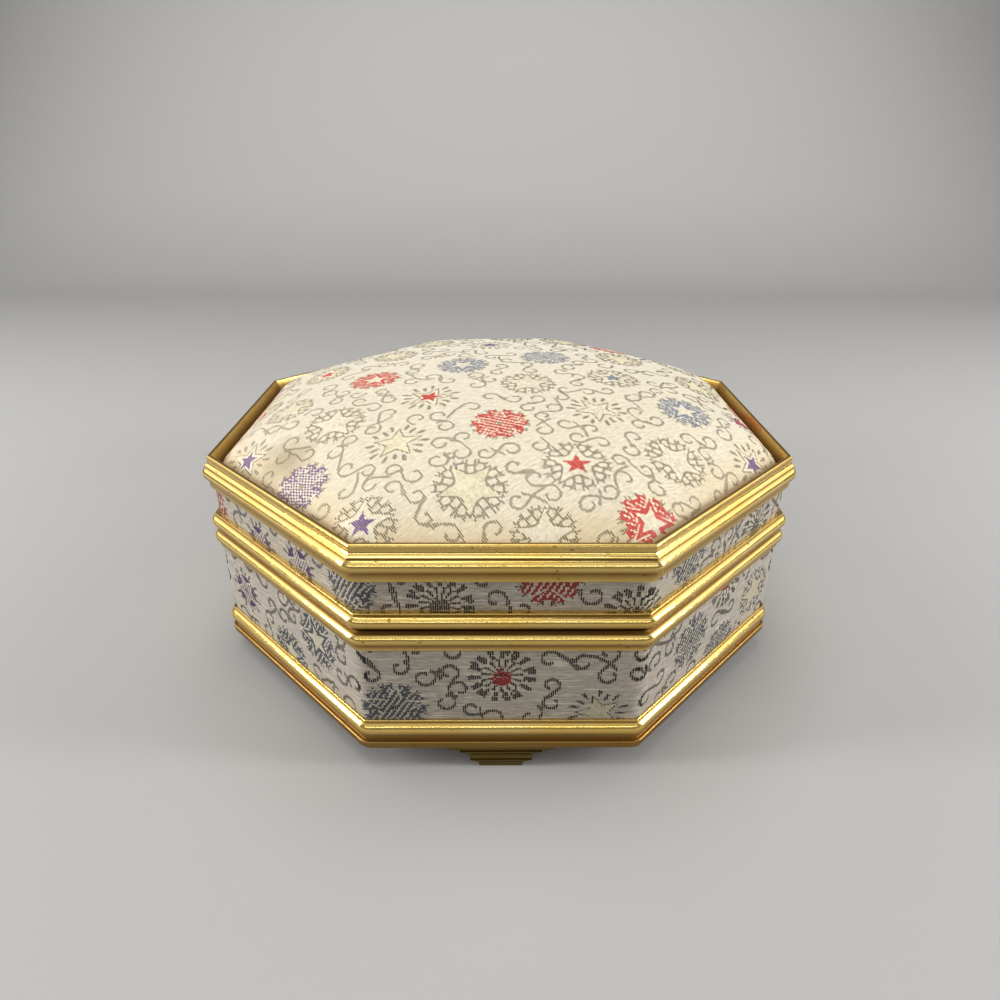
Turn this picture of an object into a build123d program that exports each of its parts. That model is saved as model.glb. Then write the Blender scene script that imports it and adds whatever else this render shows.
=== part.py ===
"""An octagonal keepsake box covered in silk brocade, with gilt mouldings and a hinged, padded lid.

The frame: +Z is up and the box stands on its four feet at z = 0. The front faces -Y and the hinges
are on the +Y side. The origin is the centre of the octagon, at the level of the feet's soles.

The casing is a ring of eight mitred boards for the base and another for the lid. A brocade band wraps
each ring, and a gilt moulding closes each of the four edges. The lid's top is a padded board under
a crowned brocade cover. Each piece is one node. A side of the octagon is named by its outward
direction, and a size called apothem is the distance from the centre line to the middle of a side.
"""
import math
import os

from build123d import *

# The octagon
SIDES = 8
BEAD_APOTHEM = 75.1
BEAD_CORNER_RADIUS = 4.0
BAND_CORNER_RADIUS = 3.6

# Clearances
GLUE_GAP = 0.05
LID_GAP = 0.3
COLLAR_CLEARANCE = 0.5
HINGE_CLEARANCE = 0.15
PIN_CLEARANCE = 0.05
SCREW_CLEARANCE = 0.05
CUT_OVERRUN = 1.0

# The feet, by the way each one faces
FOOT_DIRECTIONS = {"right": 0, "back": 90, "left": 180, "front": 270}
FOOT_HEIGHT = 6.0
FOOT_DEPTH = 4.0
FOOT_WIDTH = 26.0
FOOT_SHOULDER_INSET = 1.2
FOOT_UPPER_TIER_INSET = 3.6
FOOT_LOWER_TIER_INSET = 5.9
FOOT_SOLE_INSET = 8.0
FOOT_SHOULDER_DROP = 0.9
FOOT_UPPER_TIER_DROP = 1.4
FOOT_LOWER_TIER_DROP = 3.9
FOOT_SHOULDER_BULGE = 0.12
FOOT_UPPER_COVE_BULGE = 0.75
FOOT_LOWER_COVE_BULGE = 0.55
FOOT_LEDGE_PROUD = 0.35
FOOT_LEDGE_HEIGHT = 0.35
FOOT_FACE_HOLLOW = 0.25
FOOT_TAB_WIDTH = 18.0
FOOT_TAB_LENGTH = 7.0
FOOT_TAB_THICK = 1.2
FOOT_SCREW_SPACING = 12.0
FOOT_SCREW_INSET = 1.3
FOOT_SCREW_RADIUS = 0.9
FOOT_SCREW_HEAD_RADIUS = 1.7
FOOT_SCREW_HEAD_HEIGHT = 1.0
FOOT_SCREW_LENGTH = 3.7
SCREW_SLOT_WIDTH = 0.5
SCREW_SLOT_DEPTH = 0.45

# The moulding round the bottom of the base
BOTTOM_STEP_INSET = 0.1
BOTTOM_STEP_HEIGHT = 1.7
BOTTOM_STEP_BULGE = 0.2
BOTTOM_RECESS_INSET = 1.0
BOTTOM_RECESS_HEIGHT = 1.2
BOTTOM_BEAD_HEIGHT = 3.8
BOTTOM_BEAD_BULGE = 1.2
BOTTOM_LEDGE_INSET = 0.8
BOTTOM_LEDGE_THICK = 0.7
BOTTOM_FLANGE_REACH = 2.8
BOTTOM_FLANGE_THICK = 1.4
BOTTOM_BAND_TUCK = 1.3

# The base's panels
BASE_PANEL_HEIGHT = 19.8
BASE_BAND_INSET = 1.65
BASE_BAND_THICK = 0.6
BASE_WALL_THICK = 4.0
BASE_BAND_TUCK = 1.3

# The moulding round the top of the base
RIM_STRIP_INSET = 1.0
RIM_STRIP_HEIGHT = 1.3
RIM_BEAD_HEIGHT = 3.1
RIM_BEAD_BULGE = 1.1
RIM_CORE_INSET = 0.25
RIM_LAND_RISE = 0.35
RIM_LAND_THICK = 0.95
RIM_LAND_SETBACK = 0.25

# The moulding round the bottom of the lid
SKIRT_FILLET_INSET = 0.8
SKIRT_FILLET_RISE = 0.35
SKIRT_FILLET_HEIGHT = 0.4
SKIRT_BEAD_HEIGHT = 3.1
SKIRT_BEAD_BULGE = 1.35
SKIRT_LEDGE_INSET = 1.15
SKIRT_LEDGE_THICK = 0.65
SKIRT_BAND_TUCK = 1.3

# The lid's panels
LID_PANEL_HEIGHT = 7.75
LID_BAND_INSET = 2.35
LID_BAND_THICK = 0.6
LID_BAND_TUCK = 1.5

# The moulding round the top of the lid
TOP_STRIP_INSET = 1.2
TOP_STRIP_HEIGHT = 1.9
TOP_BEAD_HEIGHT = 3.4
TOP_BEAD_BULGE = 1.3
TOP_LEDGE_INSET = 1.0
TOP_LEDGE_THICK = 0.55
TOP_COVE_HEIGHT = 1.5
TOP_COVE_BULGE = 0.35
LIP_INSET = 1.8
LIP_WIDTH = 1.5
LIP_HEIGHT = 1.05
LIP_BULGE = 0.62
CORE_INSET = 0.45
BEVEL_DEPTH = 2.1
BEVEL_WIDTH = 1.5

# The padded top of the lid
DOME_CLEARANCE = 0.1
DOME_CORNER_RADIUS = 5.0
DOME_HEIGHT = 16.3
DOME_COVER_THICK = 0.7
DOME_BOARD_THICK = 1.6
DOME_SKIRT_HEIGHT = 1.9
DOME_WIDTH_POWER = 2.4
DOME_CROWN_POWER = 0.61
CROWN_ANGLES = (0, 15, 30, 45, 60, 75, 84)
CROWN_ROUND_SHARE = 0.86

# The linings
LINING_THICK = 1.3
COLLAR_RISE = 2.35
LID_LINING_THICK = 0.8
LINING_EDGE_BULGE = 0.3
LINING_CORNER_GAP = 0.1
FLOOR_BOARD_THICK = 2.5
FLOOR_PAD_THICK = 3.2
LID_PAD_THICK = 2.1
PAD_EDGE_RADIUS = 1.4
PAD_CORNER_RADIUS = 2.5
PAD_GAP = 0.3
UNDERSIDE_COVER_THICK = 0.8

# The hinges
HINGE_WIDTH = 14.0
HINGE_SPACING = 40.0
KNUCKLES = 5
BARREL_RADIUS = 1.05
BARREL_STANDOFF = 0.05
PIN_RADIUS = 0.5
LEAF_THICK = 0.45
HINGE_SCREW_SPACING = 8.0
HINGE_SCREW_RADIUS = 0.5
HINGE_SCREW_HEAD_RADIUS = 0.95
HINGE_SCREW_LENGTH = 5.0

# Worked out from the sizes above: angles, and levels from the feet up
SIDE_ANGLE = 360 / SIDES
HALF_TAN = math.tan(math.radians(SIDE_ANGLE / 2))

frame_bottom = FOOT_HEIGHT
bottom_step_top = frame_bottom + BOTTOM_STEP_HEIGHT
bottom_bead_low = bottom_step_top + BOTTOM_RECESS_HEIGHT
bottom_bead_high = bottom_bead_low + BOTTOM_BEAD_HEIGHT
base_panel_low = bottom_bead_high + BOTTOM_LEDGE_THICK
base_panel_high = base_panel_low + BASE_PANEL_HEIGHT
rim_bead_low = base_panel_high + RIM_STRIP_HEIGHT
rim_bead_high = rim_bead_low + RIM_BEAD_HEIGHT
rim_land = rim_bead_high + RIM_LAND_RISE
lid_land = rim_land + LID_GAP
skirt_fillet_low = lid_land + SKIRT_FILLET_RISE
skirt_bead_low = skirt_fillet_low + SKIRT_FILLET_HEIGHT
skirt_bead_high = skirt_bead_low + SKIRT_BEAD_HEIGHT
lid_panel_low = skirt_bead_high + SKIRT_LEDGE_THICK
lid_panel_high = lid_panel_low + LID_PANEL_HEIGHT
top_bead_low = lid_panel_high + TOP_STRIP_HEIGHT
top_bead_high = top_bead_low + TOP_BEAD_HEIGHT
top_ledge_high = top_bead_high + TOP_LEDGE_THICK
lip_low = top_ledge_high + TOP_COVE_HEIGHT
lip_high = lip_low + LIP_HEIGHT
dome_edge = lip_high - BEVEL_DEPTH - LIP_BULGE
dome_board_low = dome_edge - DOME_SKIRT_HEIGHT
base_wall_low = frame_bottom + BOTTOM_FLANGE_THICK
base_wall_high = rim_land - RIM_LAND_THICK
base_floor_high = base_wall_low + FLOOR_BOARD_THICK
lid_wall_low = lid_land + RIM_LAND_THICK
lid_wall_high = dome_board_low
collar_high = rim_land + COLLAR_RISE

# Apothems, from the beads inwards
band_apothem = BEAD_APOTHEM - BASE_BAND_INSET
lid_band_apothem = BEAD_APOTHEM - LID_BAND_INSET
base_wall_apothem = band_apothem - BASE_BAND_THICK - GLUE_GAP
base_wall_inside = base_wall_apothem - BASE_WALL_THICK
flange_apothem = base_wall_inside - BOTTOM_FLANGE_REACH
collar_apothem = base_wall_inside - GLUE_GAP
lid_wall_apothem = lid_band_apothem - LID_BAND_THICK - GLUE_GAP
lid_wall_inside = collar_apothem + COLLAR_CLEARANCE
land_apothem = lid_wall_inside + RIM_LAND_SETBACK
lip_apothem = BEAD_APOTHEM - LIP_INSET
bevel_foot_apothem = lip_apothem - LIP_WIDTH - BEVEL_WIDTH
board_corner_radius = BAND_CORNER_RADIUS - BASE_BAND_THICK - GLUE_GAP

# The hinge axis runs along X, just behind the beads and level with the gap under the lid
hinge_y = BEAD_APOTHEM + BARREL_STANDOFF + BARREL_RADIUS
hinge_z = (rim_land + lid_land) / 2


class Profile:
    """A closed outline of (apothem, height) points, drawn in order and carried round the octagon."""

    def __init__(self, apothem, height):
        self.start = self.at = (apothem, height)
        self.edges = []

    def to(self, apothem, height, bulge=0.0):
        """Draws to a point: straight, or as an arc that swells outwards by bulge, or in if it is negative."""
        end = (apothem, height)
        self.edges.append(SagittaArc(self.at, end, bulge) if bulge else Line(self.at, end))
        self.at = end
        return self

    def face(self):
        if math.dist(self.at, self.start):
            self.to(*self.start)
        return Plane.XZ * make_face(self.edges)


def octagon(apothem, corner_radius=0.0):
    """A flat octagon with a side square to each axis, its corners rounded where a radius is given."""
    shape = RegularPolygon(apothem, SIDES, major_radius=False, rotation=SIDE_ANGLE / 2)
    if corner_radius:
        shape = fillet(shape.vertices(), corner_radius)
    return shape


def slab(apothem, low, high, corner_radius=0.0):
    return Pos(0, 0, low) * extrude(octagon(apothem, corner_radius), high - low)


def side_wedge():
    """The slice of space that belongs to the +X side, between its two mitres."""
    reach = BEAD_APOTHEM + CUT_OVERRUN
    top = lip_high + CUT_OVERRUN
    triangle = make_face(Polyline((0, 0), (reach, -reach * HALF_TAN), (reach, reach * HALF_TAN), close=True))
    return extrude(triangle, top)


def around(piece):
    """Copies of a piece of the +X side, one for each side."""
    return [Rotation(0, 0, SIDE_ANGLE * side) * piece for side in range(SIDES)]


def mitred_ring(profile):
    """A profile carried round the octagon with sharp mitres."""
    side = extrude(profile, BEAD_APOTHEM, both=True) & side_wedge()
    return Part() + around(side)


def rounded_ring(profile):
    """A profile carried round the octagon, with the bead's radius at each corner."""
    centre_x = BEAD_APOTHEM - BEAD_CORNER_RADIUS
    centre_y = centre_x * HALF_TAN
    straight = extrude(profile, centre_y, both=True)
    corner_axis = Axis((centre_x, centre_y, 0), (0, 0, 1))
    corner = revolve(Pos(0, centre_y, 0) * profile, corner_axis, SIDE_ANGLE)
    return Part() + around(straight + corner)


def mitred_boards(outside, inside, low, high, corner_radius=0.0):
    """Eight separate boards whose mitred ends meet."""
    ring = slab(outside, low, high, corner_radius) - slab(inside, low, high)
    board = ring & side_wedge()
    return Compound([solid for copy in around(board) for solid in copy.solids()])


def hinge_pockets(low, high):
    """The room that a moulding leaves for both hinge leaves, open to the inside and the back."""
    inner = land_apothem - CUT_OVERRUN
    length = hinge_y - inner
    width = HINGE_WIDTH + HINGE_CLEARANCE * 2
    pocket = Pos(0, inner + length / 2, (low + high) / 2) * Box(width, length, high - low)
    return [Pos(side * HINGE_SPACING / 2, 0, 0) * pocket for side in (-1, 1)]


def base_bottom_frame():
    recess = BEAD_APOTHEM - BOTTOM_RECESS_INSET
    ledge = BEAD_APOTHEM - BOTTOM_LEDGE_INSET
    step = BEAD_APOTHEM - BOTTOM_STEP_INSET
    bead_root = BEAD_APOTHEM - BOTTOM_BEAD_BULGE
    band_pocket = band_apothem + GLUE_GAP
    wall_pocket = base_wall_apothem + GLUE_GAP
    tuck_low = base_panel_low - BOTTOM_BAND_TUCK
    core = (
        Profile(flange_apothem, frame_bottom)
        .to(recess - CORE_INSET, frame_bottom)
        .to(recess - CORE_INSET, bottom_bead_high)
        .to(ledge, bottom_bead_high)
        .to(ledge, base_panel_low)
        .to(band_pocket, base_panel_low)
        .to(band_pocket, tuck_low)
        .to(wall_pocket, tuck_low)
        .to(wall_pocket, base_wall_low)
        .to(flange_apothem, base_wall_low)
    )
    outside = (
        Profile(band_pocket, frame_bottom)
        .to(step, frame_bottom)
        .to(step, bottom_step_top - BOTTOM_STEP_BULGE)
        .to(step - BOTTOM_STEP_BULGE, bottom_step_top)
        .to(recess, bottom_step_top)
        .to(recess, bottom_bead_low)
        .to(bead_root, bottom_bead_low)
        .to(bead_root, bottom_bead_high, -BOTTOM_BEAD_BULGE)
        .to(band_pocket, bottom_bead_high)
    )
    frame = mitred_ring(core.face()) + rounded_ring(outside.face())
    return frame - foot_screw_holes()


def base_top_rim():
    strip = BEAD_APOTHEM - RIM_STRIP_INSET
    bead_root = BEAD_APOTHEM - RIM_BEAD_BULGE
    band_pocket = band_apothem + GLUE_GAP
    wall_pocket = base_wall_apothem + GLUE_GAP
    tuck_high = base_panel_high + BASE_BAND_TUCK
    core = (
        Profile(land_apothem, base_wall_high)
        .to(wall_pocket, base_wall_high)
        .to(wall_pocket, tuck_high)
        .to(band_pocket, tuck_high)
        .to(band_pocket, base_panel_high)
        .to(bead_root - RIM_CORE_INSET, base_panel_high)
        .to(bead_root - RIM_CORE_INSET, rim_land)
        .to(land_apothem, rim_land)
    )
    outside = (
        Profile(band_pocket, base_panel_high)
        .to(strip, base_panel_high)
        .to(strip, rim_bead_low)
        .to(bead_root, rim_bead_low)
        .to(bead_root, rim_bead_high, -RIM_BEAD_BULGE)
        .to(band_pocket, rim_bead_high)
    )
    rim = mitred_ring(core.face()) + rounded_ring(outside.face())
    return rim - hinge_pockets(rim_land - LEAF_THICK, rim_land + CUT_OVERRUN)


def lid_bottom_rim():
    fillet_apothem = BEAD_APOTHEM - SKIRT_FILLET_INSET
    ledge = BEAD_APOTHEM - SKIRT_LEDGE_INSET
    bead_root = BEAD_APOTHEM - SKIRT_BEAD_BULGE
    band_pocket = lid_band_apothem + GLUE_GAP
    wall_pocket = lid_wall_apothem + GLUE_GAP
    tuck_low = lid_panel_low - SKIRT_BAND_TUCK
    core = (
        Profile(land_apothem, lid_land)
        .to(bead_root - CORE_INSET, lid_land)
        .to(bead_root - CORE_INSET, skirt_bead_high)
        .to(ledge, skirt_bead_high + SKIRT_LEDGE_THICK / 2)
        .to(ledge, lid_panel_low)
        .to(band_pocket, lid_panel_low)
        .to(band_pocket, tuck_low)
        .to(wall_pocket, tuck_low)
        .to(wall_pocket, lid_wall_low)
        .to(land_apothem, lid_wall_low)
    )
    outside = (
        Profile(band_pocket, skirt_fillet_low)
        .to(fillet_apothem, skirt_fillet_low)
        .to(fillet_apothem, skirt_bead_low)
        .to(bead_root, skirt_bead_low)
        .to(bead_root, skirt_bead_high, -SKIRT_BEAD_BULGE)
        .to(band_pocket, skirt_bead_high)
    )
    rim = mitred_ring(core.face()) + rounded_ring(outside.face())
    return rim - hinge_pockets(lid_land - CUT_OVERRUN, lid_land + LEAF_THICK)


def lid_top_frame():
    strip = BEAD_APOTHEM - TOP_STRIP_INSET
    ledge = BEAD_APOTHEM - TOP_LEDGE_INSET
    bead_root = BEAD_APOTHEM - TOP_BEAD_BULGE
    band_pocket = lid_band_apothem + GLUE_GAP
    wall_pocket = lid_wall_apothem + GLUE_GAP
    tuck_high = lid_panel_high + LID_BAND_TUCK
    lip_crest = lip_high - LIP_BULGE
    core = (
        Profile(band_pocket, lid_panel_high)
        .to(bead_root - CORE_INSET, lid_panel_high)
        .to(bead_root - CORE_INSET, top_bead_high)
        .to(ledge, top_bead_high + TOP_LEDGE_THICK / 2)
        .to(ledge, top_ledge_high)
        .to(lip_apothem, lip_low, TOP_COVE_BULGE)
        .to(lip_apothem, lip_crest)
        .to(lip_apothem - LIP_WIDTH, lip_crest, -LIP_BULGE)
        .to(bevel_foot_apothem, dome_edge)
        .to(bevel_foot_apothem, dome_board_low)
        .to(wall_pocket, dome_board_low)
        .to(wall_pocket, tuck_high)
        .to(band_pocket, tuck_high)
    )
    outside = (
        Profile(band_pocket, lid_panel_high)
        .to(strip, lid_panel_high)
        .to(strip, top_bead_low)
        .to(bead_root, top_bead_low)
        .to(bead_root, top_bead_high, -TOP_BEAD_BULGE)
        .to(band_pocket, top_bead_high)
    )
    return mitred_ring(core.face()) + rounded_ring(outside.face())


def brocade_band(apothem, thick, low, high):
    inner_radius = BAND_CORNER_RADIUS - thick
    return slab(apothem, low, high, BAND_CORNER_RADIUS) - slab(apothem - thick, low, high, inner_radius)


def crowned(apothem, corner_radius, low, height, width_power, crown_power):
    """A padded octagon: a superellipse from its edge to its crown, in sections at even steps of its angle.
    The corners round off towards a circle on the way up."""
    sections = []
    for angle in map(math.radians, CROWN_ANGLES):
        width_share = math.cos(angle)
        height_share = (1 - width_share**width_power) ** crown_power
        corner = corner_radius + (apothem * CROWN_ROUND_SHARE - corner_radius) * (1 - width_share)
        section = octagon(apothem * width_share, corner * width_share)
        sections.append(Pos(0, 0, low + height * height_share) * section)
    return loft(sections)


def dome(shrink):
    """The crown of the lid's top, set in by shrink all over."""
    apothem = bevel_foot_apothem - DOME_CLEARANCE - shrink
    corner_radius = DOME_CORNER_RADIUS - shrink
    height = DOME_HEIGHT - shrink
    return crowned(apothem, corner_radius, dome_edge, height, DOME_WIDTH_POWER, DOME_CROWN_POWER)


def dome_skirt(shrink, low):
    apothem = bevel_foot_apothem - DOME_CLEARANCE - shrink
    return slab(apothem, low, dome_edge, DOME_CORNER_RADIUS - shrink)


def lid_dome_brocade():
    outside = dome(0.0) + dome_skirt(0.0, dome_board_low)
    inside = dome(DOME_COVER_THICK) + dome_skirt(DOME_COVER_THICK, dome_board_low)
    return outside - inside


def lid_dome_padding():
    shrink = DOME_COVER_THICK + DOME_CLEARANCE
    return dome(shrink) + dome_skirt(shrink, dome_board_low + DOME_BOARD_THICK)


def lid_dome_board():
    shrink = DOME_COVER_THICK + GLUE_GAP
    apothem = bevel_foot_apothem - DOME_CLEARANCE - shrink
    high = dome_board_low + DOME_BOARD_THICK
    return slab(apothem, dome_board_low, high, DOME_CORNER_RADIUS - shrink)


def lining_boards(outside, thick, low, high):
    """Eight fabric-wrapped boards with a soft upper edge, each a hair short of its neighbours."""
    profile = (
        Profile(outside - thick, low)
        .to(outside, low)
        .to(outside, high - LINING_EDGE_BULGE)
        .to(outside - thick, high - LINING_EDGE_BULGE, -LINING_EDGE_BULGE)
    )
    half_length = (outside - thick) * HALF_TAN - LINING_CORNER_GAP
    board = extrude(profile.face(), half_length, both=True)
    return Compound([solid for copy in around(board) for solid in copy.solids()])


def pad(apothem, low, thick):
    """A wadded card covered in fabric, with soft upper edges."""
    card = slab(apothem, low, low + thick, PAD_CORNER_RADIUS)
    return fillet(card.edges().group_by(Axis.Z)[-1], PAD_EDGE_RADIUS)


def lid_lining_pad():
    """The floor pad's twin, upside down under the lid's board."""
    upright = pad(lid_wall_inside - LID_LINING_THICK - PAD_GAP, 0, LID_PAD_THICK)
    return Pos(0, 0, dome_board_low) * Rotation(180, 0, 0) * upright


def foot_screw_places():
    """The four pairs of screws, as places on the frame's underside."""
    apothem = flange_apothem + FOOT_SCREW_INSET
    return [
        Rotation(0, 0, direction) * Pos(apothem, side * FOOT_SCREW_SPACING / 2, frame_bottom)
        for direction in FOOT_DIRECTIONS.values()
        for side in (-1, 1)
    ]


def foot_screw_holes():
    """Holes for the screws, from under the tabs to the top of the floor board."""
    low = -FOOT_TAB_THICK - CUT_OVERRUN
    high = base_floor_high - frame_bottom
    hole = Pos(0, 0, (low + high) / 2) * Cylinder(FOOT_SCREW_RADIUS + SCREW_CLEARANCE, high - low)
    return [place * hole for place in foot_screw_places()]


def foot_screws():
    head_low = -FOOT_TAB_THICK - FOOT_SCREW_HEAD_HEIGHT
    head_mid = head_low + FOOT_SCREW_HEAD_HEIGHT / 2
    head = Pos(0, 0, head_mid) * Cylinder(FOOT_SCREW_HEAD_RADIUS, FOOT_SCREW_HEAD_HEIGHT)
    slot_mid = head_low + SCREW_SLOT_DEPTH / 2
    slot = Pos(0, 0, slot_mid) * Box(FOOT_SCREW_HEAD_RADIUS * 2, SCREW_SLOT_WIDTH, SCREW_SLOT_DEPTH)
    length = FOOT_TAB_THICK + FOOT_SCREW_LENGTH
    shank = Pos(0, 0, length / 2 - FOOT_TAB_THICK) * Cylinder(FOOT_SCREW_RADIUS, length)
    screw = head - slot + shank
    return Compound([(place * screw).solid() for place in foot_screw_places()])


def foot():
    """The bracket foot under the +X side: a stepped outline across, and a stepped face seen from the side."""
    half_width = FOOT_WIDTH / 2
    sole = half_width - FOOT_SOLE_INSET
    shoulder = (half_width - FOOT_SHOULDER_INSET, frame_bottom - FOOT_SHOULDER_DROP)
    upper = (half_width - FOOT_UPPER_TIER_INSET, frame_bottom - FOOT_UPPER_TIER_DROP)
    lower = (half_width - FOOT_LOWER_TIER_INSET, frame_bottom - FOOT_LOWER_TIER_DROP)
    half_outline = make_face(
        [
            Line((0, frame_bottom), (half_width, frame_bottom)),
            SagittaArc((half_width, frame_bottom), shoulder, FOOT_SHOULDER_BULGE),
            Line(shoulder, upper),
            SagittaArc(upper, lower, -FOOT_UPPER_COVE_BULGE),
            SagittaArc(lower, (sole, 0), -FOOT_LOWER_COVE_BULGE),
            Line((sole, 0), (0, 0)),
            Line((0, 0), (0, frame_bottom)),
        ]
    )
    outline = Plane.YZ * (half_outline + mirror(half_outline, Plane.YZ))
    across = extrude(outline, BEAD_APOTHEM + CUT_OVERRUN)
    ledge = BEAD_APOTHEM - BOTTOM_STEP_INSET
    face = ledge - FOOT_LEDGE_PROUD
    back = face - FOOT_DEPTH
    side = (
        Profile(back, 0)
        .to(face, 0)
        .to(ledge, lower[1] - FOOT_LEDGE_HEIGHT, FOOT_FACE_HOLLOW)
        .to(ledge, lower[1])
        .to(face, lower[1])
        .to(ledge, upper[1] - FOOT_LEDGE_HEIGHT, FOOT_FACE_HOLLOW)
        .to(ledge, upper[1])
        .to(face, upper[1])
        .to(face, frame_bottom)
        .to(back, frame_bottom)
    )
    bracket = extrude(side.face(), FOOT_WIDTH, both=True) & across
    tab_length = FOOT_TAB_LENGTH + FOOT_DEPTH / 2
    tab_x = back + FOOT_DEPTH / 2 - tab_length / 2
    tab = Pos(tab_x, 0, frame_bottom - FOOT_TAB_THICK / 2) * Box(tab_length, FOOT_TAB_WIDTH, FOOT_TAB_THICK)
    return bracket + tab - foot_screw_holes()


def hinge_leaf(own_knuckles, plate_low, screw_apothem, wall_side):
    """A leaf at x = 0: a plate on the wall's edge and every second knuckle.
    wall_side is -1 where the wall is below the plate and 1 where it is above."""
    knuckle_pitch = HINGE_WIDTH / KNUCKLES
    plate_outer = hinge_y - BARREL_RADIUS - HINGE_CLEARANCE
    plate_length = plate_outer - land_apothem
    plate_mid = plate_low + LEAF_THICK / 2
    leaf = Pos(0, plate_outer - plate_length / 2, plate_mid) * Box(HINGE_WIDTH, plate_length, LEAF_THICK)
    for knuckle in own_knuckles:
        x = (knuckle - (KNUCKLES - 1) / 2) * knuckle_pitch
        width = knuckle_pitch - HINGE_CLEARANCE * 2
        bridge_length = hinge_y - plate_outer
        leaf += Pos(x, plate_outer + bridge_length / 2, plate_mid) * Box(width, bridge_length, LEAF_THICK)
        leaf += Pos(x, hinge_y, hinge_z) * Rotation(0, 90, 0) * Cylinder(BARREL_RADIUS, width)
    bore_length = HINGE_WIDTH + CUT_OVERRUN * 2
    leaf -= Pos(0, hinge_y, hinge_z) * Rotation(0, 90, 0) * Cylinder(PIN_RADIUS + PIN_CLEARANCE, bore_length)
    wall_face = plate_low if wall_side < 0 else plate_low + LEAF_THICK
    for screw in (-1, 1):
        place = Pos(screw * HINGE_SCREW_SPACING / 2, screw_apothem, wall_face)
        leaf -= place * hinge_screw(wall_side, SCREW_CLEARANCE)
    return leaf


def hinge_screw(wall_side, clearance):
    """A countersunk screw through a leaf: the origin is where the leaf meets the wall's edge."""
    radius = HINGE_SCREW_RADIUS + clearance
    head = Pos(0, 0, LEAF_THICK / 2) * Cone(radius, HINGE_SCREW_HEAD_RADIUS + clearance, LEAF_THICK)
    shank = Pos(0, 0, -HINGE_SCREW_LENGTH / 2) * Cylinder(radius, HINGE_SCREW_LENGTH)
    screw = head + shank
    return screw if wall_side < 0 else Rotation(180, 0, 0) * screw


def at_hinges(piece):
    """A piece at x = 0, as the pair at the left and the right hinge."""
    return {name: Pos(side * HINGE_SPACING / 2, 0, 0) * piece for name, side in (("left", -1), ("right", 1))}


def hinge_screws(wall_face, apothem, wall_side, clearance=0.0):
    screws = [
        Pos((hinge * HINGE_SPACING + screw * HINGE_SCREW_SPACING) / 2, apothem, wall_face)
        * hinge_screw(wall_side, clearance)
        for hinge in (-1, 1)
        for screw in (-1, 1)
    ]
    return [screw.solid() for screw in screws]


def hinge_pin():
    return Pos(0, hinge_y, hinge_z) * Rotation(0, 90, 0) * Cylinder(PIN_RADIUS, HINGE_WIDTH)


def build():
    """Every node's shape, by name."""
    leaf_low = rim_land - LEAF_THICK
    lid_leaf_high = lid_land + LEAF_THICK
    base_screw_apothem = (base_wall_apothem + base_wall_inside) / 2
    lid_screw_apothem = (lid_wall_apothem + lid_wall_inside) / 2
    base_screw_holes = hinge_screws(leaf_low, base_screw_apothem, -1, SCREW_CLEARANCE)
    lid_screw_holes = hinge_screws(lid_leaf_high, lid_screw_apothem, 1, SCREW_CLEARANCE)

    corner = board_corner_radius
    base_wall = mitred_boards(base_wall_apothem, base_wall_inside, base_wall_low, base_wall_high, corner)
    lid_wall = mitred_boards(lid_wall_apothem, lid_wall_inside, lid_wall_low, lid_wall_high, corner)
    base_band_low = base_panel_low - BOTTOM_BAND_TUCK
    base_band_high = base_panel_high + BASE_BAND_TUCK
    lid_band_low = lid_panel_low - SKIRT_BAND_TUCK
    lid_band_high = lid_panel_high + LID_BAND_TUCK
    floor_pad_apothem = collar_apothem - LINING_THICK - PAD_GAP
    cover_low = base_wall_low - UNDERSIDE_COVER_THICK
    lid_lining_low = collar_high + LID_GAP * 2

    nodes = {
        "base_bottom_frame": base_bottom_frame(),
        "base_top_rim": base_top_rim() - base_screw_holes,
        "base_wall": base_wall - base_screw_holes,
        "base_brocade": brocade_band(band_apothem, BASE_BAND_THICK, base_band_low, base_band_high),
        "base_floor_board": slab(collar_apothem, base_wall_low, base_floor_high) - foot_screw_holes(),
        "base_floor_pad": pad(floor_pad_apothem, base_floor_high, FLOOR_PAD_THICK),
        "base_wall_lining": lining_boards(collar_apothem, LINING_THICK, base_floor_high, collar_high),
        "base_underside_cover": slab(flange_apothem - GLUE_GAP, cover_low, base_wall_low),
        "foot_screws": foot_screws(),
        "hinge_base_screws": Compound(hinge_screws(leaf_low, base_screw_apothem, -1)),
        "lid_top_frame": lid_top_frame(),
        "lid_bottom_rim": lid_bottom_rim() - lid_screw_holes,
        "lid_wall": lid_wall - lid_screw_holes,
        "lid_brocade": brocade_band(lid_band_apothem, LID_BAND_THICK, lid_band_low, lid_band_high),
        "lid_dome_board": lid_dome_board(),
        "lid_dome_padding": lid_dome_padding(),
        "lid_dome_brocade": lid_dome_brocade(),
        "lid_wall_lining": lining_boards(lid_wall_inside, LID_LINING_THICK, lid_lining_low, dome_board_low),
        "lid_lining_pad": lid_lining_pad(),
        "hinge_lid_screws": Compound(hinge_screws(lid_leaf_high, lid_screw_apothem, 1)),
    }
    for name, direction in FOOT_DIRECTIONS.items():
        nodes[f"foot_{name}"] = Rotation(0, 0, direction) * foot()
    base_leaf = hinge_leaf(range(0, KNUCKLES, 2), leaf_low, base_screw_apothem, -1)
    lid_leaf = hinge_leaf(range(1, KNUCKLES, 2), lid_land, lid_screw_apothem, 1)
    for name, piece in at_hinges(base_leaf).items():
        nodes[f"hinge_base_leaf_{name}"] = piece
    for name, piece in at_hinges(lid_leaf).items():
        nodes[f"hinge_lid_leaf_{name}"] = piece
    for name, piece in at_hinges(hinge_pin()).items():
        nodes[f"hinge_pin_{name}"] = piece
    return nodes


def main():
    os.makedirs("parts", exist_ok=True)
    for name, shape in build().items():
        export_step(shape, f"parts/{name}.step")
        print(name, round(shape.volume, 1))
    print("hinge axis y, z:", round(hinge_y, 3), round(hinge_z, 3))


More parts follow.
